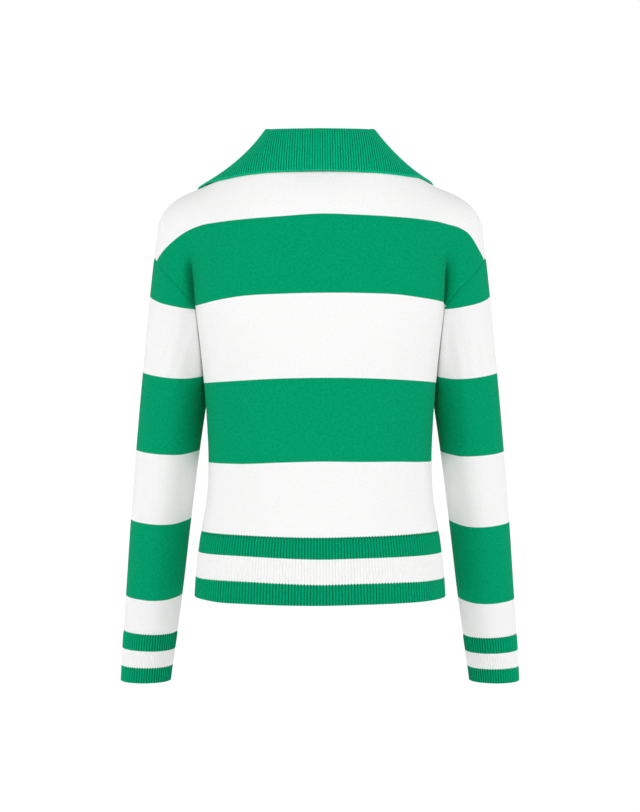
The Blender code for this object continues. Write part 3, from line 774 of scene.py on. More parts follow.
def new_skin(name):
    """Material, its node tree and the inputs of its shader."""
    skin = bpy.data.materials.new(name)
    skin.use_nodes = True
    return skin, skin.node_tree, skin.node_tree.nodes["Principled BSDF"].inputs


def dress(tree, shader, colour, rough, bump, **values):
    """Gives a shader colour, roughness, a bump (strength, distance, height) and other values."""
    strength, distance, height = bump
    relief = node(tree, "ShaderNodeBump", Strength=strength, Distance=distance, Height=height)
    tree.links.new(colour, shader["Base Color"])
    tree.links.new(rough, shader["Roughness"])
    tree.links.new(relief.outputs[0], shader["Normal"])
    for label, value in values.items():
        shader[label.replace("_", " ")].default_value = value


# %% [markdown]
# Where yarn changes, the last row of one colour interlocks with the first row of the next, so a
# stripe's edge is a fine zigzag, one tooth for each column of stitches. In rib the columns stand
# apart and the teeth are larger. One group makes both, with the tooth's width and height.

# %% Node group: one stripe with a knitted edge
STRIPE, given, result = new_group(
    "knitted stripe",
    {"Row": 0.0, "Across": 0.0, "Top": 0.0, "Bottom": 0.0, "Tooth Width": 0.0017,
     "Tooth Height": 0.0004},
    ["Mask"])
tooth = calc(STRIPE, "MULTIPLY", given["Tooth Width"], 0.5)
tooth = calc(STRIPE, "PINGPONG", given["Across"], tooth)
tooth = calc(STRIPE, "DIVIDE", tooth, given["Tooth Width"])
level = calc(STRIPE, "MULTIPLY_ADD", tooth, calc(STRIPE, "MULTIPLY", given["Tooth Height"], 2.0),
             given["Row"])
EDGE_SOFT = 0.0001
over = calc(STRIPE, "SUBTRACT", level, given["Bottom"])
under = calc(STRIPE, "SUBTRACT", given["Top"], given["Row"])
STRIPE.links.new(calc(STRIPE, "MULTIPLY", ease(STRIPE, over, -EDGE_SOFT, EDGE_SOFT),
                      ease(STRIPE, under, -EDGE_SOFT, EDGE_SOFT)), result["Mask"])
print("group:", STRIPE.name)

# %% [markdown]
# Plain knit shows columns of Vs. Across a column the yarn arches up and dips in the middle of
# the V, and along it the legs climb outwards, so the height is a cosine whose phase leans with
# the distance from the column's middle. The shade output darkens the dips a little, because
# light hardly reaches the bottom of a stitch.

# %% Node group: plain knit stitches
JERSEY, given, result = new_group(
    "plain knit stitches",
    {"Across": 0.0, "Along": 0.0, "Column Width": 0.0017, "Row Height": 0.00125},
    ["Height", "Shade"])
half = calc(JERSEY, "MULTIPLY", given["Column Width"], 0.5)
from_middle = calc(JERSEY, "DIVIDE", calc(JERSEY, "PINGPONG", given["Across"], half), half)
arch = calc(JERSEY, "SINE", calc(JERSEY, "MULTIPLY", from_middle, math.pi))
lean = calc(JERSEY, "MULTIPLY", from_middle, 0.55)
phase = calc(JERSEY, "ADD", calc(JERSEY, "DIVIDE", given["Along"], given["Row Height"]), lean)
leg = calc(JERSEY, "COSINE", calc(JERSEY, "MULTIPLY", phase, 2 * math.pi))
leg = calc(JERSEY, "MULTIPLY_ADD", leg, 0.5, 0.5)
height = calc(JERSEY, "MULTIPLY", calc(JERSEY, "POWER", calc(JERSEY, "MAXIMUM", arch, 0.001), 0.6),
              calc(JERSEY, "MULTIPLY_ADD", leg, 0.55, 0.45))
JERSEY.links.new(height, result["Height"])
JERSEY.links.new(ease(JERSEY, height, 0.75, 0.1), result["Shade"])
print("group:", JERSEY.name)

# %% [markdown]
# Between two ribs lies a narrow groove of purl stitches. The mesh has the groove as a shape, and
# this mask marks its bottom, where painted shade makes the colour a little darker.

# %% Node group: painted shade in the grooves between ribs
GROOVE_SHADE, given, result = new_group("rib groove painted shade", {"Across": 0.0, "Pitch": 0.0038, "Width": 0.3},
                                  ["Mask"])
half = calc(GROOVE_SHADE, "MULTIPLY", given["Pitch"], 0.5)
from_groove = calc(GROOVE_SHADE, "DIVIDE", calc(GROOVE_SHADE, "PINGPONG", given["Across"], half), half)
outside = ease(GROOVE_SHADE, from_groove, 0.0, given["Width"])
GROOVE_SHADE.links.new(calc(GROOVE_SHADE, "SUBTRACT", 1.0, outside), result["Mask"])
print("group:", GROOVE_SHADE.name)

# %% [markdown]
# Spun yarn is never quite even. Two noises, one as fine as the yarn and one about two stitches
# wide, make the cloth a touch lighter and darker, as in a real knit seen from near.

# %% Node group: uneven yarn
YARN, given, result = new_group("uneven yarn", {"Position": None, "Size": 0.0012}, ["Tone"])
fine_scale = calc(YARN, "DIVIDE", 1.0, given["Size"])
fine = node(YARN, "ShaderNodeTexNoise", Vector=given["Position"], Scale=fine_scale, Detail=1.0)
broad = node(YARN, "ShaderNodeTexNoise", Vector=given["Position"],
             Scale=calc(YARN, "MULTIPLY", fine_scale, 0.4), Detail=2.0)
tone = calc(YARN, "MULTIPLY_ADD", fine.outputs["Fac"], 0.5,
            calc(YARN, "MULTIPLY", broad.outputs["Fac"], 0.5))
YARN.links.new(calc(YARN, "MULTIPLY_ADD", calc(YARN, "SUBTRACT", tone, 0.5), 3.0, 0.5),
               result["Tone"])
print("group:", YARN.name)

# %% [markdown]
# ## The two knits
# One function makes every knitted finish from those groups: green with white stripes, or plain
# green. A knit scatters light softly and its fibres catch it at the edges, which a little sheen
# gives. Stripes are heights of rows, so the list can be read straight off the sweater.

# %% Knitted finishes
GREEN = (0.0006, 0.395, 0.176, 1.0)
WHITE = (0.93, 0.93, 0.925, 1.0)
# painted light: the collar is the same green yarn as the body, painted lighter for the light its
# ridges catch
COLLAR_GREEN_PAINTED_LIGHT = (0.0007, 0.505, 0.238, 1.0)
FLECK = (0.7, 0.7, 0.7, 1.0)
WHITE_FLECK = (0.94, 0.94, 0.94, 1.0)
# painted shade: the green and the white as they look at the bottom of stitches and rib grooves
GREEN_IN_SHADE = (0.0003, 0.06, 0.028, 1.0)
FIBRE_TIPS = (0.12, 1.0, 0.55, 1.0)
WHITE_IN_SHADE = (0.89, 0.89, 0.885, 1.0)
PLAIN_COLUMN = 1.7
PLAIN_ROW = 1.25
PLAIN_TOOTH = 0.4
PLAIN_SHADE = 0.22
RIB_ROW = 1.5
RIB_TOOTH = 1.3
SHADE_FADE = (0.6, 0.4)  # how far before and after a plain edge its ribs' shade begins
HEM_RIB_PITCH = 3.8
CUFF_RIB_PITCH = 3.45


def knit_coordinates(tree):
    """Across and along in the knit, and the row's height, all in metres."""
    flat = node(tree, "ShaderNodeUVMap", {"uv_map": "knit"}).outputs[0]
    parts = node(tree, "ShaderNodeSeparateXYZ", n0=flat).outputs
    row = node(tree, "ShaderNodeAttribute", {"attribute_name": "row"}).outputs["Fac"]
    return flat, parts[0], parts[1], row


def stripes_mask(tree, stripes, row, across, tooth_width, tooth_height):
    """Mask of the white stripes: top and bottom in millimetres, and the tooth if it is its own."""
    whole = None
    for top, bottom, *own_tooth in stripes:
        width, height = own_tooth or (tooth_width, tooth_height)
        mask = use_group(tree, STRIPE, Row=row, Across=across, Top=top * MM, Bottom=bottom * MM,
                         Tooth_Width=width * MM, Tooth_Height=height * MM)["Mask"]
        whole = mask if whole is None else calc(tree, "MAXIMUM", whole, mask)
    return whole


def knit_material(name, white_stripes=(), rib_pitch=None, plain_edge=0, groove=0.42):
    """Knitted finish: plain knit, or rib where a pitch in millimetres is given.

    With a plain edge, the row attribute holds the distance from the edge instead.
    """
    skin, tree, shader = new_skin(name)
    flat, across, along, row = knit_coordinates(tree)
    tone = use_group(tree, YARN, Position=flat)["Tone"]
    if rib_pitch:
        tooth = (rib_pitch, RIB_TOOTH)
        column, long_row = rib_pitch / 2, RIB_ROW
    else:
        tooth = (PLAIN_COLUMN, PLAIN_TOOTH)
        column, long_row = PLAIN_COLUMN, PLAIN_ROW
    stitch = use_group(tree, JERSEY, Across=across, Along=along, Column_Width=column * MM,
                       Row_Height=long_row * MM)
    if rib_pitch:
        painted_shade = use_group(tree, GROOVE_SHADE, Across=across, Pitch=rib_pitch * MM, Width=groove)["Mask"]
        if plain_edge:
            near, far = SHADE_FADE
            ribbed = ease(tree, row, (plain_edge - near) * MM, (plain_edge + far) * MM)
            painted_shade = calc(tree, "MULTIPLY", painted_shade, ribbed)
    else:
        painted_shade = calc(tree, "MULTIPLY", stitch["Shade"], PLAIN_SHADE)
    # the collar's plain green is painted lighter, a painted highlight on its ridges
    colour, in_shade = GREEN if white_stripes else COLLAR_GREEN_PAINTED_LIGHT, GREEN_IN_SHADE
    sheen = {"Sheen_Weight": 0.015} if white_stripes else {"Sheen_Weight": 0.28,
                                                           "Sheen_Tint": FIBRE_TIPS}
    if white_stripes:
        white = stripes_mask(tree, white_stripes, row, across, *tooth)
        colour = mixed(tree, white, colour, WHITE)
        in_shade = mixed(tree, white, in_shade, WHITE_IN_SHADE)
    # painted shade darkens the stitch dips and the rib grooves
    shaded = mixed(tree, painted_shade, colour, in_shade)
    fleck = mixed(tree, 1.0, shaded, FLECK, "MULTIPLY")
    if white_stripes:
        fleck = mixed(tree, white, fleck, mixed(tree, 1.0, shaded, WHITE_FLECK, "MULTIPLY"))
    relief = calc(tree, "MULTIPLY_ADD", tone, 0.25, stitch["Height"])
    dress(tree, shader, mixed(tree, tone, shaded, fleck),
          calc(tree, "MULTIPLY_ADD", tone, 0.1, 0.82), (0.5, 0.0003, relief),
          Specular_IOR_Level=0.02, Sheen_Roughness=0.45, **sheen)
    return skin


BODY_WHITE = ((60.0, -84.3), (-182.6, -286.5),
              (-389.8, HEM_TOP + RIB_TOOTH, HEM_RIB_PITCH, RIB_TOOTH))
SLEEVE_WHITE = ((-195.5, -286.0), (-384.5, -475.3),
                (-575.2, CUFF_TOP + RIB_TOOTH, CUFF_RIB_PITCH, RIB_TOOTH))
HEM_WHITE = ((-509.7, -539.8),)
CUFF_WHITE = ((-641.0, -661.5),)
body_knit = knit_material("striped plain knit, body", BODY_WHITE)
sleeve_knit = knit_material("striped plain knit, sleeves", SLEEVE_WHITE)
print("white stripes of the body:", BODY_WHITE)

# %% [markdown]
# ## The back and the front
# The back is the piece that everything else joins. Its outer face follows the form, its inner
# face lies one cloth's thickness inside. Where two panels meet, the linking seam draws the cloth
# in a little, so the last lines before a seam dip by just under a millimetre. Worn cloth also
# creases where body and sleeve meet, hangs in soft ripples below the armhole, and is pressed
# hollow on the inner side of the left sleeve. Tables give the depth of each at every height.

# %% Back panel
SEAM_DIP = 0.9
SEAM_REACH = 1.5


def knit_flat(grid, row):
    """Place in the knitting: across from the middle column, and along in rows."""
    run = np.diff(lengths(grid, 0), axis=0)
    steps = np.where(row[1:] < BODY_WHITE[0][1], np.diff(row, axis=0), run)
    along = row[:1] + np.concatenate([np.zeros_like(run[:1]), np.cumsum(steps, axis=0)])
    steps = (np.diff(grid, axis=1) ** 2).sum(axis=-1) - np.diff(along, axis=1) ** 2
    steps = np.sqrt(np.maximum(steps, 0))
    across = np.concatenate([np.zeros_like(steps[:, :1]), np.cumsum(steps, axis=1)], axis=1)
    across = across - across[:, grid.shape[1] // 2][:, None]
    return points(across, along)


def seam_dip(grid, sides):
    """How far the cloth dips near the chosen edges of a grid."""
    dip = np.zeros(grid.shape[:2])
    for axis, end in sides:
        run = lengths(grid, axis)
        run = run if end == 0 else np.take(run, [-1], axis=axis) - run
        dip = np.maximum(dip, SEAM_DIP * np.exp(-(run / SEAM_REACH) ** 2))
    return dip


CREASE = (  # height, depth of the crease between body and sleeve on the left and the right
    (-260, 0.0, 0.0), (-240, 0.0, 0.3), (-215, 1.5, 2.5), (-198, 6.0, 8.0), (-182, 12.5, 14.0),
    (-165, 15.0, 14.0), (-150, 11.0, 10.5), (-132, 2.0, 2.5), (-116, 0.0, 0.0), (-100, 0.0, 0.0),
)
CREASE_REACH = (4.3, 5.0)
CREASE_SHIFT = (0.3, 5.5)
CREASE_RISE = (-1.3, 2.2)  # distances past the line where body and sleeve meet
CREASE_WIDTH = 1.6
RIPPLE = (  # height, depth of the soft ripples below the armholes
    (-420, 0.0), (-360, 0.08), (-300, 0.22), (-245, 0.32), (-212, 0.2), (-196, 0.0), (-180, 0.0),
)
RIPPLE_STEP = 17.0
RIPPLE_LEAN = 0.22
RIPPLE_WAVE = (4.0, 37.0)  # how far a ripple sways, and over what height
RIPPLE_START = (80, 135)  # distances across between which the ripples begin
HOLLOW = (  # height, depth of the hollow along the left sleeve's inner side
    (-480, 0.0), (-430, 7.0), (-385, 11.0), (-335, 10.5), (-290, 5.0), (-250, 1.5), (-225, 0.0),
)
HOLLOW_REACH = 15.0


def folds(p, side=None):
    """Soft folds and creases of the worn cloth: how far each point moves, in depth."""
    across, depth, height = np.moveaxis(p, -1, 0)
    side = np.sign(across) if side is None else side
    past = torso_distance(p) - arm_distance(p) + np.where(side > 0, *CREASE_SHIFT)
    begun = smoothstep(past, *CREASE_RISE)
    reach = np.where(side > 0, *CREASE_REACH)
    crease = np.where(side > 0, *read(CREASE, height)) * begun
    crease = crease * np.exp(-(np.maximum(past - CREASE_WIDTH, 0) / reach) ** 1.3)
    sway, span = RIPPLE_WAVE
    lean = np.abs(across) + RIPPLE_LEAN * height + sway * np.sin(height / span + side)
    ripple = read(RIPPLE, height)[0] * np.sin(2 * np.pi * lean / RIPPLE_STEP)
    ripple = ripple * smoothstep(np.abs(across), *RIPPLE_START)
    hollow = (side > 0) * read(HOLLOW, height)[0] * begun
    hollow = hollow * np.exp(-(np.maximum(past, 0) / HOLLOW_REACH) ** 2)
    from_arm = depth - read(ARM, height)[1]
    move = np.zeros(p.shape)
    move[..., 1] = -np.sign(depth) * (crease + ripple) * smoothstep(np.abs(depth), 4, 20)
    move[..., 1] -= np.sign(from_arm) * hollow * smoothstep(np.abs(from_arm), 1, 18)
    return move


def body_piece(name, grid, dip, is_open=None):
    """A body panel as a wall of plain knit; dip is how far its seams draw it in."""
    level = smoothstep(-grid[..., 2], -HEM_TOP - 70, -HEM_TOP)
    grid[..., 2] += level * (height_of_row(HEM_TOP, grid[..., 0]) - HEM_TOP)
    row = row_of(grid)
    way = normal_of(panel_distance, grid)
    outer = grid - way * dip[..., None] + folds(grid)
    bm = cloth_wall(outer, outer - way * KNIT_THICK, knit_flat(grid, row), row, is_open)
    return new_piece(name + "_panel", bm, body_knit, name)


back_grid = finer_edges(mirrored(half_panel(1)))
back_dip = seam_dip(back_grid, ((0, -1), (1, 0), (1, -1)))
back = body_piece("back", back_grid, back_dip)

# %% [markdown]
# The front is the same work with a slit down its middle. Its grid runs across the slit, and the
# faces that bridge it are left out, so the panel's edges run up the zip and out to the neck.

# %% Front panel
def bridges_slit(face):
    """Whether a face of the front lies across the open slit."""
    above = face.calc_center_median().z > SLIT_BOTTOM * MM
    return above and any(abs(vert.co.x) < 1e-6 for vert in face.verts)


half = finer_edges(half_panel(-1))
half_dip = seam_dip(half, ((0, -1), (1, -1)))
slit_dip = seam_dip(half, ((1, 0),)) * smoothstep(half[..., 2], SLIT_BOTTOM - 3, SLIT_BOTTOM + 3)
half_dip = np.maximum(half_dip, slit_dip)
middle = half[:, :1] * np.array([0.0, 1.0, 1.0])
front_grid = mirrored(np.concatenate([middle, half], axis=1))
front_dip = np.concatenate([half_dip[:, ::-1], half_dip[:, :1] * 0, half_dip], axis=1)
front = body_piece("front", front_grid, front_dip, bridges_slit)

# %% [markdown]
# ## Sleeves
# A sleeve is knitted flat and joined along its inner side, so its outer face is a grid that is
# rolled round the arm: rings from the armhole to the cuff, each point found by looking outwards
# from a line inside the arm. The mesh's two side edges meet at the inner seam and are merged.

# %% Sleeves
SLEEVE_STATIONS = 140
SLEEVE_RINGS = 160
RING_CROWDING = 1.1


def sleeve_piece(side, name, skin):
    """Sleeve on the wearer's left (side 1) or right (side -1), as a closed tube of plain knit."""
    turns = np.linspace(0, 360, SLEEVE_STATIONS + 1) - 180
    around = np.abs(turns)
    start = armhole_height(around) - SEAM_GAP
    share = (np.linspace(0, 1, SLEEVE_RINGS + 1) ** RING_CROWDING)[:, None]
    low = cuff_top(turns, side) + SEAM_GAP / 2
    heights = start[None] * (1 - share) + low[None] * share
    turn_grid = np.broadcast_to(turns, heights.shape)
    grid = finer_edges(sleeve_point(sleeve_distance, turn_grid, heights), ((0, 0), (0, -1)))
    turn_grid = np.broadcast_to(turns, grid.shape[:2])
    row = sleeve_row_of(turn_grid % 360, grid[..., 2], side)
    dip = seam_dip(grid, ((0, 0), (0, -1)))
    way = normal_of(sleeve_distance, grid)
    across = lengths(grid, 1)
    across = across - across[:, SLEEVE_STATIONS // 2][:, None]
    flip = side_flip(side)
    folded = grid - way * dip[..., None] + folds(grid, side)
    clear = np.where(folded[..., 2] < UNDERARM, SLEEVE_CLEARANCE - torso_distance(folded), 0)
    folded += np.maximum(clear, 0)[..., None] * normal_of(torso_distance, folded)
    outer = folded * flip
    knit = points(across, lengths(grid[::-1], 0)[::-1])
    bm = cloth_wall(outer, outer - way * flip * KNIT_THICK, knit, row)
    return new_piece(name + "_knit", bm, skin, name)


def cuff_top(turns, side):
    """Height of the seam between sleeve and cuff at each turn about the sleeve."""
    height = np.full(turns.shape, CUFF_TOP)
    for _ in range(8):
        height += CUFF_TOP - sleeve_row_of(turns % 360, height, side)
    return height


sleeve_left = sleeve_piece(1, "sleeve_left", sleeve_knit)
sleeve_right = sleeve_piece(-1, "sleeve_right", sleeve_knit)

# %% [markdown]
# ## Rib bands
# Rib knit is a row of round ridges with narrow grooves between them. Each ridge needs about six
# columns of mesh to look round, so a band is a grid with six columns for each rib, and the
# ridges are pushed out along the form. Both faces of real rib are ribbed, the inner one half a
# rib further on. A row of the band follows the same drop as the stripes above it.

# %% Rib bands of the hem
RIB_DEPTH = 0.9
COLUMNS_PER_RIB = 6
RIB_ROUNDNESS = 0.6
EDGE_START = 1.6  # where close rows begin and where they lie, in thicknesses from the edge
EDGE_ROWS = (0.9, 0.5, 0.3, 0.15, 0.06, 0.0)


def rib_height(across, pitch, depth=RIB_DEPTH):
    """Height of the ridges over the bottom of the grooves, at a distance across the rib."""
    return depth * np.abs(np.sin(np.pi * across / pitch)) ** RIB_ROUNDNESS


def edge_roll(run, thick):
    """How far a face of cloth rolls in near a free edge, at a distance from that edge."""
    radius = thick / 2
    short = np.clip(radius - run, 0, radius)
    return radius - np.sqrt(np.maximum(radius ** 2 - short ** 2, 0))


def rows_to_edge(top, bottom, step, thick):
    """Heights from top to bottom, with close rows where the free edge rolls in."""
    even = np.linspace(top, bottom + EDGE_START * thick, max(2, round((top - bottom) / step)))
    return np.append(even, bottom + thick * np.array(EDGE_ROWS))


def rib_faces(grid, way, across, pitch, to_edge, to_seam):
    """Outer and inner face of a rib band that rolls in at its edge and dips at its seam."""
    roll = edge_roll(to_edge, RIB_THICK)
    dip = SEAM_DIP * np.exp(-(to_seam / SEAM_REACH) ** 2)
    free = 1 - roll / (RIB_THICK / 2)
    low = RIB_DEPTH / 2 * free
    ridge = rib_height(across, pitch) * free
    other = rib_height(across + pitch / 2, pitch) * free
    outer = grid + way * (ridge - low - roll - dip)[..., None]
    return outer, grid - way * (RIB_THICK - low + other - roll + dip)[..., None]


def band_piece(side, name, skin, faces, across, row):
    """Rib band from its two faces, on the left (side 1) or mirrored to the right (side -1)."""
    outer, inner = (face * side_flip(side) for face in faces)
    bm = cloth_wall(outer, inner, points(across, row), row)
    return new_piece(name + "_band", bm, skin, name)


def hem_piece(side, name, skin):
    """Rib band at the hem of the back (side 1) or the front (side -1)."""
    rows = rows_to_edge(HEM_TOP - SEAM_GAP / 2, HEM_BOTTOM, 6.0, RIB_THICK)
    middle = (HEM_TOP + HEM_BOTTOM) / 2
    half_length = lengths_along(hem_arc(np.linspace(0, 1, 200), side, middle))
    ribs = round(half_length / HEM_RIB_PITCH)
    pitch = half_length / ribs
    shares = np.linspace(0, 1, ribs * COLUMNS_PER_RIB + 1)
    grid = mirrored(np.stack([hem_arc(shares, side, height) for height in rows]))
    row = grid[..., 2].copy()
    grid[..., 2] = height_of_row(row, grid[..., 0])
    across = np.broadcast_to(np.linspace(-half_length, half_length, grid.shape[1]), row.shape)
    faces = rib_faces(grid, normal_of(torso_distance, grid), across, pitch, row - HEM_BOTTOM,
                      HEM_TOP - row)
    return band_piece(1, name, skin, faces, across, row)


hem_rib = knit_material("striped rib, hem", HEM_WHITE, HEM_RIB_PITCH)
hem_back = hem_piece(1, "hem_rib_back", hem_rib)
hem_front = hem_piece(-1, "hem_rib_front", hem_rib)

# %% [markdown]
# The cuffs are the same rib, but each one is a tube. Its rows are rings about the arm, as those of
# the sleeve are, and their heights run evenly from the slanted sleeve seam to the level edge.

# %% Cuffs
def cuff_piece(side, name, skin):
    """Rib cuff on the wearer's left (side 1) or right (side -1)."""
    ring = sleeve_point(sleeve_distance, np.linspace(0, 360, 361), (CUFF_TOP + CUFF_BOTTOM) / 2)
    round_length = lengths_along(ring)
    ribs = round(round_length / CUFF_RIB_PITCH)
    pitch = round_length / ribs
    turns = np.linspace(-180, 180, ribs * COLUMNS_PER_RIB + 1)
    rows = rows_to_edge(CUFF_TOP - SEAM_GAP / 2, CUFF_BOTTOM, 4.0, RIB_THICK)
    share = ((rows - rows[0]) / (rows[-1] - rows[0]))[:, None]
    start = cuff_top(turns, side)[None] - SEAM_GAP / 2
    heights = start * (1 - share) + CUFF_BOTTOM * share
    row = np.broadcast_to(rows[:, None], heights.shape)
    grid = sleeve_point(sleeve_distance, np.broadcast_to(turns, heights.shape), heights)
    across = np.broadcast_to(np.linspace(0, ribs * pitch, len(turns)), row.shape)
    faces = rib_faces(grid, normal_of(sleeve_distance, grid), across, pitch, row - CUFF_BOTTOM,
                      rows[0] - row)
    return band_piece(side, name, skin, faces, across, row)


cuff_rib = knit_material("striped rib, cuffs", CUFF_WHITE, CUFF_RIB_PITCH)
cuff_left = cuff_piece(1, "cuff_left", cuff_rib)
cuff_right = cuff_piece(-1, "cuff_right", cuff_rib)

# %% [markdown]
# ## The collar
# The collar is one piece of rib: it stands up from the neck seam, folds over and lies wide on
# the shoulders, with pointed front ends. Its sections round the neck are a short straight stand,
# a tight half circle for the fold and a soft curve down to the edge. The turned-down part is
# then lifted wherever it would sink into the shoulders, as cloth that rests on cloth.

# %% Sections of the collar
COLLAR = (  # turn about the neck from the back, then fold, middle and edge (side, depth, height)
    (0, (0, 50, 26.3), (0, 63, 0), (0, 73, -29)),
    (32, (37, 43, 26.8), (44, 58, -1), (64, 69, -31)),
    (62, (60.5, 24, 29.0), (84, 41, -5), (113, 51, -35)),
    (90, (68.5, -1, 31.0), (106.5, 3, -9.8), (155, 0, -43)),
    (116, (62, -35, 16), (98, -46, -30), (144, -50, -75)),
    (138, (47, -63, -14), (82, -76, -56), (126, -74, -112)),
    (COLLAR_END_TURN, (32, -82, -36), (60, -91, -78), (94, -88, -132)),
)
COLLAR_FOLD_RADIUS = 3.6
COLLAR_CLEARANCE = 0.3
COLLAR_INSET = 1.8
RIGHT_DROP = 31.0
RIGHT_REACH = ((0, 1.0), (60, 0.95), (90, 0.87), (116, 0.88), (138, 0.95), (COLLAR_END_TURN, 1.0))
COLLAR_RESTS = (-80, -50)  # turns, negated, between which the edge begins to rest on the back
COLLAR_STATIONS = 90
STAND_POINTS = 10
FOLD_POINTS = 8
FALL_SHARES = np.append(np.linspace(0, 0.955, 27), (0.965, 0.972, 0.982, 0.99, 0.995, 0.9985, 1))


def resting_distance(p):
    """Distance from where the outer face of the collar's edge lies when it rests on the back."""
    return body_distance(p) - RIB_THICK - COLLAR_CLEARANCE


def collar_sections(count):
    """Collar sections on one side: neck seam, fold, middle and edge of each."""
    turns = np.linspace(0, COLLAR_END_TURN, count)
    table = [(turn, *fold, *middle, *edge) for turn, fold, middle, edge in COLLAR]
    marks = np.moveaxis(read(table, turns), 0, -1).reshape(count, 3, 3)
    seam = neckline(turns)
    inward = seam * np.array([1.0, 1.0, 0.0])
    inward /= np.linalg.norm(inward, axis=-1, keepdims=True)
    seam -= inward * (COLLAR_INSET + RIB_THICK)
    resting = settle_along(resting_distance, marks[:, 2], axis=1, least=0.3)
    behind = smoothstep(-turns, *COLLAR_RESTS)[:, None]
    marks[:, 2] = resting * behind + marks[:, 2] * (1 - behind)
    return np.concatenate([seam[:, None], marks], axis=1)


def collar_profile(section):
    """Points across one collar section: up the stand, over the fold and down to the edge."""
    neck, fold, middle, edge = section
    out = edge - neck
    out[2] = 0
    out = out / np.linalg.norm(out)
    up = np.array([0, 0, 1.0])
    centre = fold - up * COLLAR_FOLD_RADIUS
    fall_run = np.hypot(*(middle - fold)[:2])
    last = math.pi / 2 + math.atan2(fold[2] - middle[2], fall_run)
    turn = [centre + COLLAR_FOLD_RADIUS * (math.sin(a) * up - math.cos(a) * out)
            for a in np.linspace(0, last, FOLD_POINTS)]
    stand = [neck + (turn[0] - neck) * share for share in np.linspace(0, 1, STAND_POINTS)[:-1]]
    pull = 2 * middle - (turn[-1] + edge) / 2
    fall = [(1 - t) ** 2 * turn[-1] + 2 * t * (1 - t) * pull + t * t * edge
            for t in FALL_SHARES[1:]]
    return np.array(stand + turn + fall)


FIRST_FALL = STAND_POINTS + FOLD_POINTS - 1


def lay_collar(grid):
    """Lifts the turned-down part clear of the shoulders."""
    fall = grid[:, FIRST_FALL:]
    for _ in range(10):
        short = np.maximum(COLLAR_CLEARANCE + RIB_THICK - body_distance(fall), 0)
        fall = fall + short[..., None] * normal_of(body_distance, fall)
    grid[:, FIRST_FALL:] = fall
    return grid


def collar_side(side):
    """One side of the collar, from the middle of the back to its front end."""
    sections = collar_sections(COLLAR_STATIONS + 1)
    if side < 0:
        reach = read(RIGHT_REACH, np.linspace(0, COLLAR_END_TURN, len(sections)))[0][:, None]
        sections[:, 3] = sections[:, 1] + (sections[:, 3] - sections[:, 1]) * reach
        sections[:, 3, 2] -= (1 - reach[:, 0]) * RIGHT_DROP
    grid = lay_collar(np.stack([collar_profile(section) for section in sections]))
    return grid * side_flip(side)


left_collar = collar_side(1)
right_collar = collar_side(-1)
print("collar:", round(float(lengths(left_collar, 1)[0, -1])), "mm from seam to edge at the back")

# %% [markdown]
# Ribs are straight lines in the knitting. On the back of the collar they hang side by side, and
# towards the front, where the turned-down part is wider than the fold, new ribs begin at the
# slanted front edge. So each row of the grid is sampled at equal steps along its own length, a
# rib being five steps, and a row that is too short for a column simply ends with the collar's end.

# %% Ribbed collar
COLLAR_RIB_PITCH = 3.1
COLLAR_RIB_DEPTH = 0.85
COLLAR_COLUMNS_PER_RIB = 5
COLLAR_FAN = 0.05
PLAIN_EDGE = 2.2
RIB_FADE = (0.8, 0.4)  # how far before and after the plain edge the ribs begin
EDGE_FULLNESS = 0.6


def normals_of_grid(grid):
    """Unit normals of a grid, from its own lines."""
    return unit(np.cross(np.gradient(grid, axis=0), np.gradient(grid, axis=1)))


def along_rows(stations, values, places):
    """Values of a grid of stations, read at places along each of its rows."""
    run = lengths(stations, 0)
    run = run - run[len(stations) // 2]
    rows = []
    for line in range(stations.shape[1]):
        at = np.clip(places[line], run[0, line], run[-1, line])
        rows.append(read_line(at, run[:, line], values[:, line]))
    return np.array(rows)


def collar_places(stations):
    """Where the columns of ribs cross each row, as distances from the middle of the back."""
    run = lengths(stations, 0)
    half = run[-1] / 2
    step = COLLAR_RIB_PITCH / COLLAR_COLUMNS_PER_RIB
    count = int(math.ceil(half.max() / step))
    columns = np.arange(-count, count + 1) * step
    fall = np.append(np.zeros(FIRST_FALL), FALL_SHARES[1:])
    spread = 1 + COLLAR_FAN * fall
    spread[:FIRST_FALL] = half[:FIRST_FALL] / half[FIRST_FALL]
    return columns, columns[None] * spread[:, None]


def collar_piece():
    """The collar as a wall of rib with a plain edge."""
    stations = np.concatenate([right_collar[::-1], left_collar[1:]])
    columns, places = collar_places(stations)
    facing = normals_of_grid(stations)
    facing *= np.sign(facing[COLLAR_STATIONS, -10, 1])
    grid = along_rows(stations, stations, places)
    way = along_rows(stations, facing, places)
    run = lengths(stations, 0)
    run = run - run[COLLAR_STATIONS]
    first, last = run[0][:, None], run[-1][:, None]
    to_end = np.clip(np.minimum(places - first, last - places), 0, None)
    along = lengths(grid, 0)
    to_edge = np.minimum(along[-1] - along, to_end)
    across = np.clip(places, first, last) * columns[-1] / places[:, -1:]
    near, far = RIB_FADE
    plain = smoothstep(to_edge, PLAIN_EDGE - near, PLAIN_EDGE + far)
    roll = edge_roll(to_edge, RIB_THICK)
    lift = COLLAR_RIB_DEPTH / 2 * (1 - roll / (RIB_THICK / 2))
    ridge = rib_height(across, COLLAR_RIB_PITCH, COLLAR_RIB_DEPTH) - COLLAR_RIB_DEPTH / 2
    other = rib_height(across + COLLAR_RIB_PITCH / 2, COLLAR_RIB_PITCH, COLLAR_RIB_DEPTH)
    other = (other - COLLAR_RIB_DEPTH / 2) * plain
    outer = grid + way * (ridge * plain + lift * (1 - plain) * EDGE_FULLNESS - roll)[..., None]
    inner = grid - way * (RIB_THICK + other - roll)[..., None]
    bm = cloth_wall(outer, inner, points(across, along), to_edge)
    return new_piece("collar_rib", bm, collar_rib, "collar")


collar_rib = knit_material("green rib, collar", (), COLLAR_RIB_PITCH, plain_edge=PLAIN_EDGE,
                           groove=0.5)
collar = collar_piece()

